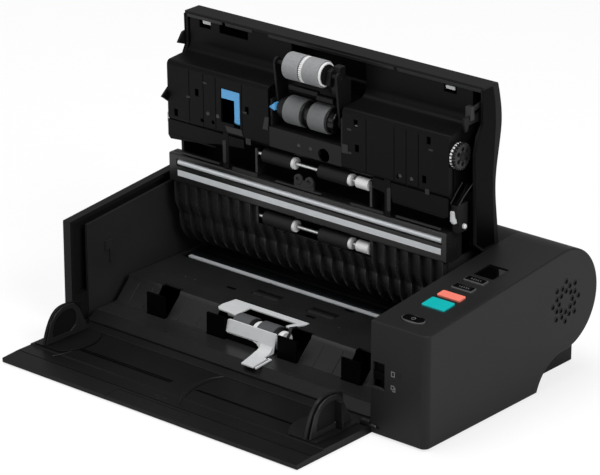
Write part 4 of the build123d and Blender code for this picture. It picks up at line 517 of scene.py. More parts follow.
class Stock:
    """Mesh under construction, in the drawing's millimetres."""

    def __init__(self) -> None:
        """Starts with an empty mesh."""
        self.bm = bmesh.new()

    def loft(self, rings: Sequence[Sequence[Any]]) -> "Stock":
        """Adds a closed form through rings with the same number of points.

        Args:
            rings: the rings' points, from end to end.

        Returns:
            This mesh.
        """
        loops = [[self.bm.verts.new(p) for p in ring] for ring in rings]
        for a, b in zip(loops, loops[1:]):
            for i in range(len(a)):
                j = (i + 1) % len(a)
                self.bm.faces.new((a[i], a[j], b[j], b[i]))
        self.bm.faces.new(list(reversed(loops[0])))
        self.bm.faces.new(loops[-1])
        return self

    def prism(self, outline: Loop, low: float, high: float, axis: str = "X") -> "Stock":
        """Adds a prism.

        Args:
            outline: points in the plane across the axis.
            low, high: its ends along the axis.
            axis: the axis.

        Returns:
            This mesh.
        """
        return self.loft([[across(axis, *p, t) for p in outline] for t in (low, high)])

    def block(self, x: Point2, y: Point2, z: Point2) -> "Stock":
        """Adds a box between three ranges, and returns this mesh."""
        return self.prism(box_loop(x, y), *z, "Z")

    def blocks(self, areas: Areas, z: Point2) -> "Stock":
        """Adds boxes with the same range of heights.

        Args:
            areas: each box's ranges along X and Y.
            z: their heights.

        Returns:
            This mesh.
        """
        for x, y in areas:
            self.block(x, y, z)
        return self

    def lathe(self, profile: Pairs, centre: Point2, axis: str = "X", steps: int = 40) -> "Stock":
        """Adds a turned form.

        Args:
            profile: (place along the axis, radius) pairs.
            centre: the axis' place in the plane across it.
            axis: the axis.
            steps: sides of the turned form.

        Returns:
            This mesh.
        """
        return self.loft([[across(axis, *p, along) for p in circle(centre, radius, steps)]
                          for along, radius in profile])

    def tube(self, path: Sequence[Point3], radius: float, steps: int = 8) -> "Stock":
        """Adds a round bar along a path.

        Args:
            path: its points.
            radius: its radius.
            steps: its sides.

        Returns:
            This mesh.
        """
        points = [Vector(p) for p in path]
        rings = []
        for i, p in enumerate(points):
            along = (points[min(i + 1, len(points) - 1)] - points[max(i - 1, 0)]).normalized()
            side = along.cross(Vector((0, 0, 1)))
            if side.length < UPRIGHT:
                side = along.cross(Vector((0, 1, 0)))
            side.normalize()
            up = side.cross(along).normalized()
            rings.append([p + side * u + up * v for u, v in circle((0, 0), radius, steps)])
        return self.loft(rings)

    def rim(self, outer: Loop, inner: Loop, low: float, high: float, axis: str = "X") -> "Stock":
        """Adds a flat frame between two loops with the same number of points.

        Args:
            outer, inner: the loops, in the plane across the axis.
            low, high: its faces along the axis.
            axis: the axis.

        Returns:
            This mesh.
        """
        out_low, in_low, out_high, in_high = ([self.bm.verts.new(across(axis, *p, t)) for p in loop]
                                              for t in (low, high) for loop in (outer, inner))
        for i in range(len(outer)):
            j = (i + 1) % len(outer)
            self.bm.faces.new((out_low[i], out_low[j], in_low[j], in_low[i]))
            self.bm.faces.new((out_high[i], in_high[i], in_high[j], out_high[j]))
            self.bm.faces.new((out_low[i], out_high[i], out_high[j], out_low[j]))
            self.bm.faces.new((in_low[i], in_low[j], in_high[j], in_high[i]))
        return self

    def turn(self, matrix: Matrix) -> "Stock":
        """Moves all that was added so far, and returns this mesh."""
        bmesh.ops.transform(self.bm, matrix=matrix, verts=self.bm.verts)
        return self

    def mesh(self, name: str, place: Matrix) -> bpy.types.Mesh:
        """Args:
            name: the mesh's name.
            place: the move to its place.

        Returns:
            The mesh, with its faces turned outward.
        """
        bmesh.ops.recalc_face_normals(self.bm, faces=self.bm.faces)
        mesh = bpy.data.meshes.new(name)
        self.turn(place)
        self.bm.to_mesh(mesh)
        self.bm.free()
        return mesh


Skins = Sequence[tuple[str, Finish, float]]


@dataclass
class Assembly:
    """A sub-assembly: CAD nodes with their finish, and the pieces that only the look has."""

    skins: Skins = ()
    body: str = "base"
    slot: str = "guide_black"
    stand: Stand = Stand.BODY
    skin_steps: int = 2

    def build(self) -> None:
        """Dresses the CAD nodes, then makes the further pieces."""
        for skin in self.skins:
            self.dress(*skin)
        self.details()

    def dress(self, node: str, finish: Finish, bevel: float) -> None:
        """Copies a CAD node as a piece with broken edges that stands for it.

        Args:
            node: the CAD node.
            finish: its finish.
            bevel: width of its broken edges, in millimetres.
        """
        source = frame["nodes"][node]
        copy = Stock()
        copy.bm.from_mesh(source.data)
        bmesh.ops.remove_doubles(copy.bm, verts=copy.bm.verts, dist=WELD_M)
        bmesh.ops.dissolve_limit(copy.bm, angle_limit=FLAT_ANGLE, verts=copy.bm.verts, edges=copy.bm.edges)
        self.add(node + "_skin", copy, finish, bevel, self.skin_steps, source["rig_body"], SLOTS[node], (node,),
                 Stand.FRAME)

    def details(self) -> None:
        """Makes the pieces that only the look has."""

    def add(self, name: str, stock: Stock, finish: Finish, bevel: float = 0.3, steps: int = 2, body: str = "",
            slot: str = "", replaces: tuple[str, ...] = (), stand: Stand | None = None) -> None:
        """Turns a mesh into a finished piece, with broken edges and even shading.

        Args:
            name: the piece's name.
            stock: its mesh.
            finish: its finish.
            bevel: width of its broken edges, in millimetres; 0 leaves them sharp.
            steps: segments of these.
            body: the CAD body that it moves with, if not the sub-assembly's own.
            slot: the record's material slot, if not the sub-assembly's own; not used.
            replaces: CAD nodes that it stands for.
            stand: how it is placed, if not as the sub-assembly.
        """
        mesh = stock.mesh(name, (stand or self.stand).matrix())
        piece = bpy.data.objects.new(name, mesh)
        bpy.context.scene.collection.objects.link(piece)
        if bevel:
            edge = piece.modifiers.new("edges", "BEVEL")
            edge.width = bevel * MM
            edge.segments = steps
            edge.limit_method = "ANGLE"
            edge.angle_limit = BEVEL_ANGLE
            edge.use_clamp_overlap = True
            edge.miter_outer = "MITER_SHARP"
        even = piece.modifiers.new("normals", "WEIGHTED_NORMAL")
        even.keep_sharp = True
        even.weight = NORMAL_WEIGHT
        mesh.shade_smooth()
        mesh.set_sharp_from_angle(angle=SHARP_ANGLE)
        bpy.context.view_layer.update()
        ready = bpy.data.meshes.new_from_object(piece.evaluated_get(bpy.context.evaluated_depsgraph_get()))
        piece.modifiers.clear()
        piece.data = ready
        bpy.data.meshes.remove(mesh)
        ready.name = name
        ready.materials.clear()
        ready.materials.append(finish.material())
        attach(piece, body or self.body)
        if replaces:
            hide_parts(*replaces)
        LOG.info("%s: %d faces", name, len(ready.polygons))


# Stage

@dataclass
class Studio:
    """Pale floor, soft light and the camera."""

    focal_mm: float = 190.8
    sensor_mm: float = 36.0
    eye: Point3 = (1708.9, -1923.3, 1146.7)
    aim: Point3 = (-11.97, 100.0, 109.23)
    clip: tuple[float, float] = (0.05, 60.0)
    floor_half: float = 12.0
    floor_tone: float = 0.9
    floor_glow: float = 0.72
    sky_tone: float = 0.8
    sky_light: float = 0.38
    lamp_aim: Point3 = (0.0, 0.0, 0.1)
    lamps: tuple[tuple[str, Point3, float, float], ...] = (
        ("right_softbox", (2.6, -0.6, 1.9), 1.6, 60.0),
        ("top_softbox", (-0.4, -0.3, 2.9), 1.9, 52.0),
        ("front_softbox", (-1.3, -2.6, 1.3), 1.6, 12.0),
    )

    def build(self) -> None:
        """Makes floor, surroundings, lamps and camera."""
        self.floor()
        self.world()
        for lamp in self.lamps:
            self.lamp(*lamp)
        self.camera()
        bpy.context.scene.view_settings.view_transform = "Standard"

    def floor(self) -> None:
        """Makes the floor, white to the camera and open to shadows."""
        mesh = bpy.data.meshes.new("floor")
        half = (-self.floor_half, self.floor_half)
        mesh.from_pydata([(*corner, 0.0) for corner in box_loop(half, half)], [], [(0, 1, 2, 3)])
        floor = bpy.data.objects.new("floor", mesh)
        bpy.context.scene.collection.objects.link(floor)
        coat = Coat.named("floor_white")
        matt = coat.add("ShaderNodeBsdfDiffuse", None, {"Color": (self.floor_tone,) * 3})
        glow = coat.add("ShaderNodeEmission", None, {"Color": (1.0, 1.0, 1.0), "Strength": 1.0})
        seen = coat.plus(0.0, coat.add("ShaderNodeLightPath").outputs["Is Camera Ray"], self.floor_glow)
        mesh.materials.append(coat.end(coat.mix(seen, matt, glow)))

    def world(self) -> None:
        """Makes the even surroundings, brighter to the camera and through glass than as light."""
        world = bpy.data.worlds.new("surroundings")
        bpy.context.scene.world = world
        sky = Coat(world, "ShaderNodeOutputWorld")
        light = sky.add("ShaderNodeBackground", None, {"Color": (1.0, 1.0, 1.0), "Strength": self.sky_light})
        backdrop = sky.add("ShaderNodeBackground", None, {"Color": (self.sky_tone,) * 3, "Strength": 1.0})
        rays = sky.add("ShaderNodeLightPath").outputs
        seen = sky.add("ShaderNodeMath", {"operation": "MAXIMUM"},
                       {0: rays["Is Camera Ray"], 1: rays["Is Transmission Ray"]})
        sky.end(sky.mix(seen.outputs[0], light, backdrop))

    def lamp(self, name: str, place: Point3, size: float, power: float) -> None:
        """Makes one soft square lamp that looks at the scanner.

        Args:
            name: its name.
            place: where it hangs, in metres.
            size: its side.
            power: its watts.
        """
        light = bpy.data.lights.new(name, "AREA")
        light.shape = "SQUARE"
        light.size = size
        light.energy = power
        self.hang(bpy.data.objects.new(name, light), Vector(place), Vector(self.lamp_aim))

    def camera(self) -> None:
        """Makes the camera at the photograph's angle."""
        data = bpy.data.cameras.new("camera")
        data.lens = self.focal_mm
        data.sensor_width = self.sensor_mm
        data.clip_start, data.clip_end = self.clip
        camera = bpy.data.objects.new("camera", data)
        lift = Stand.BODY.matrix()
        self.hang(camera, lift @ Vector(self.eye), lift @ Vector(self.aim))
        bpy.context.scene.camera = camera

    @staticmethod
    def hang(thing: bpy.types.Object, place: Vector, aim: Vector) -> None:
        """Puts a lamp or camera in its place and turns it to what it looks at.

        Args:
            thing: the lamp or camera.
            place: where it goes.
            aim: what it looks at.
        """
        thing.location = place
        thing.rotation_mode = "QUATERNION"
        thing.rotation_quaternion = (aim - place).to_track_quat("-Z", "Y")
        bpy.context.scene.collection.objects.link(thing)


@dataclass
class Shell(Assembly):
    """Sides, rear and chassis of the body."""

    skins: Skins = (
        ("left_side_panel", Finish.BODY, 0.5),
        ("left_inner_frame", Finish.PATH, 0.4),
        ("right_housing", Finish.HOUSING, 0.35),
        ("right_inner_frame", Finish.GUIDE, 0.3),
        ("base_chassis", Finish.LINING, 0.3),
        ("rear_shell", Finish.BODY, 0.3),
        ("outer_turn_guide", Finish.PATH, 0.3),
        ("rear_lower_casing", Finish.BODY, 0.6),
        ("rear_sockets", Finish.GLOSS, 0.25),
        ("rubber_feet", Finish.FOOT, 0.3),
        ("cover_hinge_pins", Finish.STEEL, 0.2),
        ("tray_hinge_pins", Finish.STEEL, 0.15),
        ("speaker", Finish.STEEL, 0.3),
        ("drive_motor", Finish.STEEL, 0.4),
        ("main_board", Finish.BOARD, 0.1),
    )
    slot: str = "housing_black"
    side: Point2 = (211.8, 212.05)
    grille: Pairs = ((9.8, 0.0), (14.4, 0.5), (19.0, 0.0))
    grille_count: int = 8
    hole_r: float = 2.0
    rim_r: float = 2.6

    def details(self) -> None:
        """Makes the dark rims of the speaker's holes."""
        rims = Stock()
        for radius, offset in self.grille:
            for k in range(self.grille_count):
                turn = math.tau * (k + offset) / self.grille_count
                hole = (REAR_ROUND[0] + radius * math.cos(turn), REAR_ROUND[1] + radius * math.sin(turn))
                rims.rim(circle(hole, self.rim_r, 20), circle(hole, self.hole_r, 20), *self.side)
        self.add("grille_rims", rims, Finish.CHEEK, 0)


@dataclass
class Controls(Assembly):
    """Keys, window and path lever of the housing."""

    skins: Skins = (
        ("power_button", Finish.KEY_WALL, 0.4),
        ("start_button", Finish.TEAL, 0.4),
        ("stop_button", Finish.CORAL, 0.4),
        ("mode_key_front", Finish.KEY_WALL, 0.4),
        ("mode_key_rear", Finish.KEY_WALL, 0.4),
        ("display_window", Finish.WINDOW, 0.4),
        ("path_lever", Finish.CHEEK, 0.4),
    )
    slot: str = "key_black"
    stand: Stand = Stand.SLOPE
    skin_steps: int = 3
    middle_x: float = 182.0
    power_s: float = 19.5
    mode_s: Named = (("mode_key_front", 89.0), ("mode_key_rear", 106.0))
    display_s: float = 128.0
    proud: float = 1.4
    stroke_halves: tuple[float, ...] = (0.9, 1.4, 0.9, 1.1, 0.7)
    stroke_pitch: float = 2.3

    def details(self) -> None:
        """Makes the glossy tops of the dark keys, their marks and the frame of the window."""
        x, top = self.middle_x, self.proud
        caps = [("power_button", oval((x, self.power_s + 0.5), 21.6, 9.6, 4.6))]
        caps += [(key, oval((x - 0.4, s + 0.6), 20, 6.8, 1.2)) for key, s in self.mode_s]
        for key, outline in caps:
            self.add(key + "_cap", Stock().prism(outline, top - 0.3, top + 0.2, "Z"), Finish.GLOSS, 0.12, body=key)
        window = (x, self.display_s)
        frame_loops = oval(window, 22.6, 24.6, 1), oval(window, 21.4, 23.4, 0.6)
        self.add("display_frame", Stock().rim(*frame_loops, -0.4, 0.25, "Z"), Finish.KEY, 0.08)
        self.power_mark()
        for key, s in self.mode_s:
            self.stroke_mark(key, s + 0.6)

    def power_mark(self) -> None:
        """Makes the power key's mark: an open ring with a bar."""
        x, s, top = self.middle_x, self.power_s, self.proud + 0.2
        ring = [(x + 1.9 * math.cos(a), s + 0.4 + 1.9 * math.sin(a), top)
                for a in (math.radians(120 + 30 * k) for k in range(11))]
        mark = Stock().tube(ring, 0.2, 6).block((x - 0.2, x + 0.2), (s + 0.6, s + 3.0), (top - 0.1, top + 0.12))
        self.add("power_mark", mark, Finish.INK, 0.04, 1, "power_button")

    def stroke_mark(self, key: str, middle: float) -> None:
        """Makes the short strokes on a mode key.

        Args:
            key: the key's body.
            middle: the strokes' place up the slope.
        """
        x, top = self.middle_x, self.proud + 0.2
        strokes = Stock()
        for i, half in enumerate(self.stroke_halves):
            left = x - 5.0 + self.stroke_pitch * i
            strokes.block((left, left + 1.3), (middle - half, middle - half + 0.35), (top - 0.1, top + 0.05))
            strokes.block((left + 0.4, left + 0.75), (middle - half, middle + half), (top - 0.1, top + 0.05))
        self.add(key + "_mark", strokes, Finish.INK, 0.02, 1, key)


@dataclass
class LeverPlate(Assembly):
    """Sill of the path lever's slot and the page signs beside it, on the housing's front."""

    slot: str = "housing_black"
    face: Point2 = (-0.12, 0.1)
    line: float = 0.6
    flat_page: Area = ((174.2, 177.9), (60, 64.8))
    curved_page: Area = ((174, 177.6), (48, 51.9))
    folded_page: Area = ((181.2, 184.6), (61, 65))

    def details(self) -> None:
        """Makes the sill and the signs."""
        self.add("lever_slot_sill", Stock().block((153.4, 166.6), (-0.7, 0.4), (43.6, 45.4)).block(
            (154.4, 165.6), (-0.5, 0.3), (45.3, 46.4)), Finish.EDGE)
        signs = Stock()
        for page in (self.flat_page, self.curved_page):
            signs.rim(box_loop(*page), box_loop(*page, self.line), *self.face, "Y")
        signs.block((178.1, 178.7), self.face, (46.9, 50.6)).block((175.4, 178.7), self.face, (46.4, 47.0))
        self.add("page_signs", signs, Finish.INK, 0.03, 1)
        self.add("folded_page_sign", Stock().rim(box_loop(*self.folded_page), box_loop(*self.folded_page, self.line),
                                                 -0.1, 0.1, "Y"), Finish.LINING, 0.03, 1)


@dataclass
class PaperBed(Assembly):
    """Bed, stoppers, retard unit, idlers and lower scan line."""

    skins: Skins = (
        ("lower_bed", Finish.BED, 0.3),
        ("path_flap", Finish.PATH, 0.2),
        ("stopper_flaps", Finish.CHEEK, 0.35),
        ("retard_shaft", Finish.WHITE, 0.3),
        ("retard_rollers", Finish.RUBBER_MID, 0.3),
        ("registration_idlers", Finish.LINING, 0.3),
        ("exit_idlers", Finish.LINING, 0.3),
        ("lower_scan_sensor", Finish.GLOSS, 0.3),
        ("lower_scan_glass", Finish.GLASS, 0.15),
        ("lower_white_strip", Finish.BAR, 0.2),
    )
    bed_z: float = 38.3
    ledge_z: float = 17.5
    foot_y: float = 45.8
    ramp: Point2 = (62.3, 33.8)
    seams: Areas = (((-62, -14), (97, 126)), ((-186, -92), (84, 124)), ((24, 132), (90, 126)))
    pips: Pairs = ((-169.2, 86.4), (-146.9, 94.9), (-134.8, 94.8), (-119.2, 126.3), (-89.9, 125.4), (-74.2, 131),
        (40, 93), (52, 93.4), (96, 110), (118, 96))
    slots: Pairs = ((5, 95), (23, 128), (-95, 100))
    ribs: tuple[float, ...] = (-176, -158, -114, -92, 32, 48, 70, 112, 128)
    folds: Pairs = ((-186, -150), (-122, -78), (16, 80), (108, 144))

    def details(self) -> None:
        """Makes the seams, pips and small slots of the bed, a darker plate of painted shade over its front slope, and
        the ribs and folds in front of it.
        """
        z = self.bed_z
        seams, pips, slots, ribs, folds = Stock(), Stock(), Stock(), Stock(), Stock()
        for seam in self.seams:
            seams.rim(box_loop(*seam), box_loop(*seam, 0.6), z - 0.3, z + 0.05, "Z")
        self.add("bed_panel_seams", seams, Finish.EDGE, 0.02, 1)
        for pip in self.pips:
            pips.lathe([(z - 0.4, 1.5), (z + 0.1, 1.4), (z + 0.35, 0.9), (z + 0.4, 0.3)], pip, "Z", 16)
        self.add("bed_pips", pips, Finish.EDGE, 0)
        for slot in self.slots:
            slots.prism(oval(slot, 11, 3.6, 1.2), z - 0.4, z + 0.06, "Z")
        self.add("bed_slots", slots, Finish.CHEEK, 0.02, 1)
        # Painted shade: a thin darker plate over the bed's front slope, which faces the lamps and would otherwise
        # render lighter.
        slope = [(8.6, 10.95), (8.6, 11.25), (18.9, 17.7), (18.9, 17.4)]
        self.add("bed_front_slope_painted_shade", Stock().prism(slope, -189.8, 147.8), Finish.TRAY, 0.05, 1)
        z, (ramp_y, ramp_z) = self.ledge_z, self.ramp
        rib = [(self.foot_y, z), (ramp_y, ramp_z), (ramp_y, ramp_z + 0.45), (self.foot_y, z + 0.45)]
        for x in self.ribs:
            ribs.prism(rib, x, x + 0.8)
        self.add("ramp_ribs", ribs, Finish.EDGE, 0.08, 1)
        for x0, x1 in self.folds:
            folds.block((x0, x1), (40.6, 41.2), (z - 0.3, z + 0.35))
            folds.block((x0 + 3, x1 - 3), (24, 24.5), (z - 0.3, z + 0.2))
        self.add("ledge_folds", folds, Finish.EDGE, 0.08, 1)


@dataclass
class RetardUnit(Assembly):
    """Light cover over the retard rollers, with the rings and hubs beside them."""

    body: str = "retard_cover"
    slot: str = "light_grey"
    axis: Point2 = (58.7, 25.6)
    top: float = 38.55
    face: float = 36.9
    lean: float = 0.28
    lean_z: float = 19.2
    plate: Loop = ((-50.2, 75.2), (5.2, 75.2), (3.2, 70), (1.6, 64.4), (5.2, 63.6), (9, 70.6), (14, 79), (14, 82.5),
        (-74, 82.5), (-76, 66), (-74.6, 59), (-71, 56), (-60.5, 55.6), (-50.2, 54.2))
    band: Loop = ((-53, 35.4), (-50.5, 36.2), (5, 36.2), (5, 18.4), (-11.6, 18.4), (-13, 20.6), (-16, 22.8),
        (-21, 24), (-50.5, 24), (-53, 25))
    tongue: Loop = ((-3.4, 9.5), (10.6, 9.5), (8.4, 30.6), (4.2, 32.6), (4, 43.6), (-12.4, 43.6))
    finger: Loop = ((12.4, 9.5), (14.4, 9.5), (12.2, 33.2), (8, 33.2), (8, 31.2), (10.4, 31.2))
    neck: Loop = ((44, 25), (43.1, 24), (41.6, 21.8), (38.6, 20), (34, 19.3), (34, 18), (44, 18))
    ring_left: tuple[float, ...] = (-30.4, -1.4)
    hubs: tuple[Point3, ...] = ((-26.8, -21.2, 11.0), (1.6, 6.8, 9.6))

    def details(self) -> None:
        """Makes rear bar and left wing, leaning front band, neck and split tongue, rings and hubs."""
        face = self.face
        plate = Stock().prism(self.plate, face, self.top, "Z").prism(
            [(56, face + 0.2), (62, face + 0.2), (60, 34), (57, 34)], -61, -50.8)
        self.add("retard_cover_plate", plate, Finish.SILVER, replaces=("retard_cover",))
        lean = Matrix(((1, 0, 0, 0), (0, 1, self.lean, -self.lean * self.lean_z), (0, 0, 1, 0), (0, 0, 0, 1)))
        self.add("retard_cover_band", Stock().prism(self.band, 43, 44.3, "Y").turn(lean), Finish.SILVER)
        self.add("retard_cover_apron", Stock().block((-50, -14), (44.5, 44.9), (17.8, 25)), Finish.CHEEK, 0.05, 1)
        tongue = Stock().prism(self.tongue, 17.65, 19.35, "Z").prism(self.finger, 17.65, 19.3, "Z")
        self.add("retard_cover_tongue", tongue.prism(self.neck, -10.4, 3.9), Finish.SILVER)
        rings, hubs = Stock(), Stock()
        for x in self.ring_left:
            ring = [(x, 9.2), (x, 12), (x + 1, 12.3), (x + 2.4, 12.3), (x + 2.9, 11.8), (x + 2.9, 9.2)]
            rings.lathe(ring, self.axis)
        self.add("retard_roller_rings", rings, Finish.LINING, 0.15, body="retard_rollers", slot="roller_dark")
        for x0, x1, r in self.hubs:
            hubs.lathe([(x0, 9.1), (x0, r - 0.4), (x0 + 0.8, r), (x1 - 0.8, r), (x1, r - 0.4), (x1, 9.1)], self.axis)
        self.add("retard_hubs", hubs, Finish.WHITE, 0.15, body="base")


@dataclass
class Tray(Assembly):
    """Lowered tray with its extension and paper guides."""

    skins: Skins = (
        ("tray_panel", Finish.TRAY, 0.35),
        ("tray_extension", Finish.TRAY, 0.35),
        ("left_paper_guide", Finish.TRAY, 0.45),
        ("right_paper_guide", Finish.FIN, 0.45),
        ("guide_pinion", Finish.WHITE, 0.1),
    )
    body: str = "tray"
    slot: str = "body_black"
    top_z: float = 7.5
    racks: Areas = (((-151.3, -40.3), (-43.8, -41.4)), ((-12.7, 102.4), (-41.8, -39.4)))
    arc: Pairs = ((-12.3, -3), (-17, -9), (-20, -18), (-21, -30), (-19, -44), (-13.5, -58), (-3, -72))
    corner: Pairs = ((-162.1, -4.6), (-156.5, -16), (-153.6, -30), (-154, -46), (-157, -60), (-160.6, -69))
    marks: Pairs = ((-34, -70.5), (-29, -74), (-24, -70.8))
    fin_outer: Loop = ((-58.6, 9.4), (-56, 18), (-52, 29), (-46, 36), (-38, 39.8), (-30, 40.8), (-22, 39.4),
        (-15.5, 33), (-10.6, 23), (-5.2, 12.4), (-4.4, 9.4))
    fin_inner: Loop = ((-50, 14), (-50.2, 20), (-47.6, 28), (-43.4, 32.6), (-37.4, 35.4), (-30.2, 36.2), (-24.6, 35),
        (-20.6, 30.6), (-19, 24), (-20.6, 18), (-27, 14))
    fin_faces: Named = (("right", 133.2), ("left", -179.0))

    def details(self) -> None:
        """Makes the racks' slots, rear band, curved beads and marks of the panel, and the guides' raised rims."""
        z = self.top_z
        beads, marks = Stock(), Stock()
        self.add("rack_slots", Stock().blocks(self.racks, (z - 0.3, z + 0.08)), Finish.CHEEK, 0.03, 1,
                 slot="guide_black")
        band = [(-3.1, z - 0.2), (7.3, z - 0.2), (7.3, z + 2), (6.6, z + 2.5), (-2, z + 1), (-3.1, z + 0.5)]
        self.add("tray_rear_band", Stock().prism(band, -186, 142), Finish.TRAY, 0.2)
        for line in (self.arc, self.corner):
            beads.tube([(x, y, z + 0.05) for x, y in line], 0.42)
        self.add("tray_beads", beads, Finish.EDGE, 0)
        for x, y in self.marks:
            sides = (x, x + 3), (y, y + 2)
            marks.rim(box_loop(*sides), box_loop(*sides, 0.4), z - 1.2, z - 0.92, "Z")
        self.add("tray_marks", marks, Finish.EDGE, 0.02, 1)
        for side, x in self.fin_faces:
            rim = Stock().rim(self.fin_outer, self.fin_inner, x - 0.6, x + 1.2)
            self.add(side + "_fin_rim", rim, Finish.EDGE, 0.35, body=side + "_guide", slot="guide_black")
            self.add(side + "_fin_rim_web", Stock().prism(self.fin_inner, x - 0.6, x + 0.1), Finish.LINING, 0.05, 1,
                     side + "_guide", "guide_black")


@dataclass
class Cover(Assembly):
    """Raised cover with the upper half of the paper path, drawn closed."""

    skins: Skins = (
        ("top_cover", Finish.BODY, 0.5),
        ("inner_guide", Finish.GUIDE, 0.35),
        ("roller_bracket", Finish.BRACKET, 0.35),
        ("upper_scan_box", Finish.BOX, 0.4),
        ("upper_white_strip", Finish.BAR, 0.2),
        ("platen_roller", Finish.BAR, 0.4),
        ("turn_guide", Finish.RIBS, 0.25),
        ("release_lever", Finish.BLUE, 0.4),
        ("feed_shaft", Finish.STEEL, 0.2),
        ("feed_hubs", Finish.KEY, 0.3),
        ("feed_rollers", Finish.RUBBER_FEED, 0.3),
        ("feed_gear", Finish.KEY, 0.1),
        ("pickup_arm", Finish.LINING, 0.3),
        ("pickup_hub", Finish.LINING, 0.3),
        ("pickup_rollers", Finish.RUBBER_LIGHT, 0.3),
        ("registration_shaft", Finish.STEEL, 0.2),
        ("registration_rollers", Finish.RUBBER_DARK, 0.3),
        ("registration_hubs", Finish.WHITE, 0.3),
        ("exit_shaft", Finish.STEEL, 0.2),
        ("exit_rollers", Finish.RUBBER_EXIT, 0.3),
        ("exit_hubs", Finish.WHITE, 0.3),
    )
    body: str = "cover"
    stand: Stand = Stand.COVER
    # Outline of the near-black sheets laid over the side walls' faces: painted shade.
    cheek: Loop = ((4.6, 71.6), (34, 72.2), (46, 65.8), (58, 62.8), (66, 61.8), (86, 62.6), (145, 65.2), (152, 75),
        (152, 91), (125, 89), (106, 88), (85, 87.6), (60, 89.6), (38, 91), (20, 89.8), (4.6, 86.4))
    lip_z: float = 73.5
    lip_runs: Pairs = ((-193, -150), (-146, -113), (-94, 52), (56, 148))
    lip_tabs: Pairs = ((-175.5, 8.2), (108.4, 9))

    def details(self) -> None:
        """Makes the dark cheeks on the side walls, near-black sheets of painted shade, the lip's stepped strips and
        the bright tabs under it.
        """
        # Painted shade: thin near-black sheets laid over the faces of the cover's side walls.
        for name, low, high in (("right_wall_painted_shade", 150.9, 151.25), ("left_wall_painted_shade", -196.25, -195.9)):
            self.add(name, Stock().prism(self.cheek, low, high), Finish.CHEEK, 0.08, 1, slot="body_black")
        z = self.lip_z
        strips, tabs = Stock(), Stock()
        for x0, x1 in self.lip_runs:
            strips.prism([(4.4, z - 1.2), (7.6, z - 0.6), (7.6, z + 0.6), (4.4, z + 0.6)], x0, x1)
        self.add("lip_strips", strips, Finish.EDGE, 0.25, slot="body_black")
        for x, y in self.lip_tabs:
            tabs.prism([(y, z + 1), (y + 3.4, z + 1.6), (y + 3.4, z + 2.6), (y, z + 2.6)], x, x + 10)
        self.add("lip_tabs", tabs, Finish.SILVER, 0.2, slot="light_grey")


@dataclass
class Latch(Assembly):
    """Latch rod with its plate and hook, and the catch, stay and holder blocks in the gap beside the inner guide."""

    body: str = "cover"
    stand: Stand = Stand.COVER
    rod: Point2 = (30.0, 81.0)
    rod_r: float = 2.5
    left_x: float = -198.5
    right_x: float = 143.5
    plate_t: float = 2.2
    plate: Loop = ((31.6, 63), (36, 74.6), (35, 82.4), (31, 85.6), (19.6, 86), (22.6, 69.8))
    hook: Loop = ((26, 53), (30, 53), (39, 55), (39, 58), (34, 59.6), (34, 82), (30, 86), (26, 82))
    carrier: Loop = ((104, 44), (109.8, 44), (122, 47), (131, 47), (131, 60), (104, 60))

    def details(self) -> None:
        """Makes the latch, the blocks beside it and near-black sheets of painted shade in the gap."""
        rod = Stock().lathe([(self.left_x, self.rod_r), (self.right_x + self.plate_t, self.rod_r)], self.rod)
        rod.prism(self.plate, self.left_x, self.left_x + self.plate_t)
        rod.prism(self.hook, self.right_x, self.right_x + self.plate_t)
        self.add("latch_hooks_skin", rod, Finish.LINING, 0.4, body="latch", replaces=("latch_hooks",))
        # Painted shade: near-black sheets that darken the gap between the inner guide and the side wall.
        self.add("gap_painted_shade", Stock().block((139.6, 147.6), (20, 152), (78, 80)).block(
            (139.2, 140), (70, 100), (46, 78.5)), Finish.CHEEK)
        self.add("catch_block", Stock().block((140.6, 146.8), (17.6, 30.6), (60.4, 66)).prism(
            [(20, 65), (24, 65), (20.4, 79), (17, 79)], 143, 145.6), Finish.FINGER, 0.6, 2, "latch", "bracket_grey")
        self.add("catch_edge", Stock().tube([(146.2, 16.6, 84), (144, 19.6, 74), (143.2, 22, 67)], 0.6),
                 Finish.EDGE, 0, body="latch")
        self.add("stay_edges", Stock().tube([(140.6, 86.9, 57.6), (140, 95, 49), (139.4, 103, 42.6)], 0.7).tube(
            [(145.8, 88.4, 68), (145.6, 97, 54), (145.4, 104.4, 46)], 0.7), Finish.EDGE, 0)
        self.add("stay_web", Stock().prism([(87.4, 58.4), (88.8, 67.2), (104, 46.4), (103, 43.6)], 141, 145),
                 Finish.CHEEK)
        self.add("latch_block", Stock().block((139.2, 142.6), (109.6, 119.6), (42, 47)).block(
            (140, 143.4), (117, 121.4), (43, 49)), Finish.SILVER, 0.5, slot="light_grey")
        self.add("latch_carrier", Stock().prism(self.carrier, 138, 145), Finish.LINING, 0.5)
        pin = [(142, 2.2), (146.4, 2.4), (147.2, 2), (147.6, 1.2)]
        self.add("cover_pin", Stock().lathe(pin, (125.6, 54), "X", 20), Finish.WHITE, 0.2, slot="white_plastic")


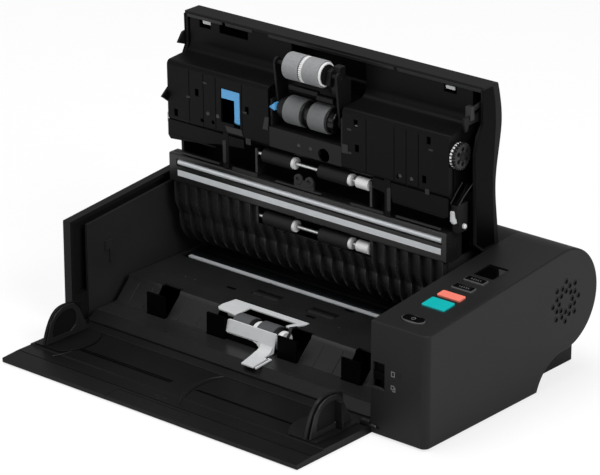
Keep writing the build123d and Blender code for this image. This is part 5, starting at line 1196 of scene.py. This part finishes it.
@dataclass
class FeedRollers(Assembly):
    """Rings, caps, gear and holder of the pickup and feed rollers."""

    body: str = "feed_set"
    slot: str = "key_black"
    stand: Stand = Stand.COVER
    pickup: Point2 = (16.7, 47.3)
    feed: Point2 = (60.5, 52.0)
    eye: Point2 = (18.0, 48.0)

    def details(self) -> None:
        """Makes the turned parts on both axes, the pickup rollers' holder and the blue tip beside them."""
        self.add("pickup_knurled_ring", Stock().prism(gear(self.pickup, 11.6, 12.3, 40), -26.9, -23.2), Finish.WHITE,
                 0.1, 1, "pickup_set", "white_plastic")
        end_ring = [(-5.1, 8), (-5.1, 10.9), (-4.6, 11.2), (-3.4, 11.2), (-3, 10.6), (-3, 8)]
        self.add("pickup_end_ring", Stock().lathe(end_ring, self.pickup), Finish.WHITE, 0.12, 2, "pickup_set",
                 "white_plastic")
        self.holder()
        for name, x in (("feed_middle_ring", -30.2), ("feed_right_ring", -1.2)):
            ring = [(x, 8), (x, 11.4), (x + 0.5, 11.9), (x + 1.5, 11.9), (x + 1.9, 11.4), (x + 1.9, 8)]
            self.add(name, Stock().lathe(ring, self.feed), Finish.EDGE, 0.12)
        right_hub = [(1.4, 7), (1.4, 10.6), (2, 11.2), (7.4, 11.2), (8.2, 10.4), (8.2, 7)]
        self.add("feed_right_hub", Stock().lathe(right_hub, self.feed), Finish.GLOSS, 0.2)
        left_hub = [(-57.4, 7), (-57.4, 9.6), (-56.6, 10.2), (-51, 10.2), (-50.2, 9.6), (-50.2, 7)]
        self.add("feed_left_hub", Stock().lathe(left_hub, self.feed), Finish.BRACKET, 0.2)
        flange = [(139.2, 9), (139.2, 11.4), (139.6, 11.9), (141, 11.9), (141.4, 11.4), (141.4, 9)]
        self.add("gear_flange", Stock().lathe(flange, self.feed), Finish.WHITE, 0.1, slot="white_plastic")
        cap = [(144.9, 4.2), (145.5, 4), (145.9, 3.2), (146, 1)]
        self.add("gear_cap", Stock().lathe(cap, self.feed, "X", 24), Finish.LINING, 0)
        self.add("release_tip", Stock().prism([(-68, 59.6), (-60.6, 54.2), (-60.6, 61.8)], 42, 46, "Z").block(
            (-62, -59.8), (54.6, 61.4), (43, 60)), Finish.BLUE, body="cover", slot="blue")

    def holder(self) -> None:
        """Makes the holder at the pickup rollers' right end and its lighter edges."""
        holder = Stock()
        holder.prism([(8.4, 50), (27, 47), (36, 50), (42, 53), (42, 58), (8.4, 58)], 1.2, 9.4)
        holder.prism([(12, 44.6), (24, 42.8), (27.4, 46), (25, 50.6), (10.4, 52)], -1.8, 3.4)
        holder.block((-50, -16), (36.4, 41), (49, 53)).block((-16.2, 3), (38.6, 43.4), (47.4, 53))
        self.add("pickup_holder", holder, Finish.LINING, 0.5, 2, "pickup_arm", "guide_black")
        edges = Stock().rim(gear(self.eye, 3, 3, 6), gear(self.eye, 2.4, 2.4, 6), -2.3, -1.7)
        edges.tube([(1, 10.4, 51.4), (1, 18, 46), (1.6, 26.6, 46.4)], 0.35, 6)
        self.add("pickup_holder_edges", edges, Finish.EDGE, 0, 2, "pickup_arm", "guide_black")


@dataclass
class GuideFace(Assembly):
    """Small ledges, skirts, screws and clips on the inner guide's face and on the scan box."""

    body: str = "cover"
    stand: Stand = Stand.COVER
    face_z: float = 40.2
    box_z: float = 41.4
    blue_sill: Loop = ((-119, 88.6), (-99, 88.6), (-97.6, 94.6), (-116, 94.6))
    shoulder: Loop = ((-73.4, 81.6), (-70.6, 69), (-66, 69), (-67.2, 81.6))
    steps: Areas = (((-94, -88.2), (95, 101)), ((113.4, 118), (94, 99.2)), ((19.2, 26.4), (74, 82.6)))
    left_skirt: Loop = ((-191, 98), (-97, 98), (-97, 106.5), (-128, 109.5), (-150, 114), (-188, 117.5), (-191, 114))
    right_skirt: Loop = ((54, 98), (138, 98), (138, 115), (134, 117.4), (77, 116.4), (75, 112), (70, 110), (54, 108))
    hems: tuple[Point3, ...] = ((-186, -132, 112.4), (78, 104, 113.4), (108, 136, 113.4))
    sills: Pairs = ((-164, 70), (-143, 52), (-95, 70), (119.4, 56), (28, 58), (28, 80))
    screws: Pairs = ((-31, 88), (-17, 88), (85.2, 89.3), (98.1, 89.1), (-140, 82), (-128, 82))
    box_steps: Areas = (
        ((-184, -128), (127.6, 129.6)), ((-112, -82), (127.6, 131)), ((-60, -6), (128.2, 130)),
        ((28, 66), (128.2, 130.8)), ((80, 130), (127.6, 129.6)))
    eyes: Pairs = ((-33, 121), (-20, 121))
    fingers: Named = (("left_finger_plate", -120.6), ("right_finger_plate", 72.6))

    def details(self) -> None:
        """Makes the pieces on the guide's face, then those on the scan box."""
        self.ledges()
        self.skirts()
        z = self.face_z
        sills, screws = Stock(), Stock()
        for x, y in self.sills:
            sills.block((x - 2.4, x + 2.4), (y, y + 2), (z - 0.4, z + 0.5))
        self.add("guide_sills", sills, Finish.EDGE, 0.2)
        head = [(z + 0.2, 2), (z - 0.2, 2), (z - 0.45, 1.5), (z - 0.45, 0.9), (z - 0.1, 0.6)]
        for screw in self.screws:
            screws.lathe(head, screw, "Z", 20)
        self.add("guide_screws", screws, Finish.DARK_STEEL, 0, slot="steel")
        self.add("guide_corner_clip", Stock().block((-192, -189.4), (92, 101.6), (41, 46)).block(
            (-190.4, -187.4), (98.6, 101.6), (40.6, 43.4)), Finish.SILVER, 0.4, slot="light_grey")
        self.box_pieces()

    def ledges(self) -> None:
        """Makes the small raised steps of the face."""
        levels = (self.face_z - 0.7, self.face_z + 0.5)
        ledges = Stock().prism(self.blue_sill, *levels, "Z").prism(self.shoulder, *levels, "Z")
        self.add("guide_ledges", ledges.blocks(self.steps, levels), Finish.EDGE)

    def skirts(self) -> None:
        """Makes the skirts under the face, over the scan box."""
        skirts = Stock()
        for outline in (self.left_skirt, self.right_skirt):
            skirts.prism(outline, self.face_z + 0.25, self.face_z + 2.2, "Z")
        for x0, x1, y in self.hems:
            skirts.block((x0, x1), (y, y + 1.6), (self.face_z - 0.1, self.face_z + 1))
        self.add("guide_skirts", skirts, Finish.GUIDE, 0.4)

    def box_pieces(self) -> None:
        """Makes the ledges on top of the scan box, the sensor's eyes and the finger plates."""
        z = self.box_z
        self.add("box_ledges", Stock().blocks(self.box_steps, (z - 0.8, z + 1)), Finish.EDGE)
        eyes = Stock()
        for eye in self.eyes:
            eyes.lathe([(z + 1.5, 5), (z - 0.6, 5), (z - 1, 4.4), (z - 1, 2.2), (z + 0.4, 2)], eye, "Z", 24)
        eyes.block((-38, -15), (121, 128.4), (z - 0.4, z + 2))
        self.add("sensor_eyes", eyes, Finish.FINGER, 0.2, slot="bracket_grey")
        for name, x in self.fingers:
            plate = [(x - 2, 104), (x + 2, 103), (x + 2, 124.6), (x, 126), (x - 2, 124.6)]
            self.add(name, Stock().prism(plate, self.face_z - 0.6, self.face_z + 0.6, "Z"), Finish.FINGER, 0.4,
                     slot="bracket_grey")


def main() -> None:
    """Builds the stage and dresses each sub-assembly in turn."""
    logging.basicConfig(level=logging.INFO, format="%(name)s %(message)s")
    Studio().build()
    for part in (Shell(), Controls(), LeverPlate(), PaperBed(), RetardUnit(), Tray(), Cover(), Latch(), FeedRollers(),
                 GuideFace()):
        part.build()
        LOG.info("built %s", type(part).__name__)


if __name__ == "__main__":
    main()
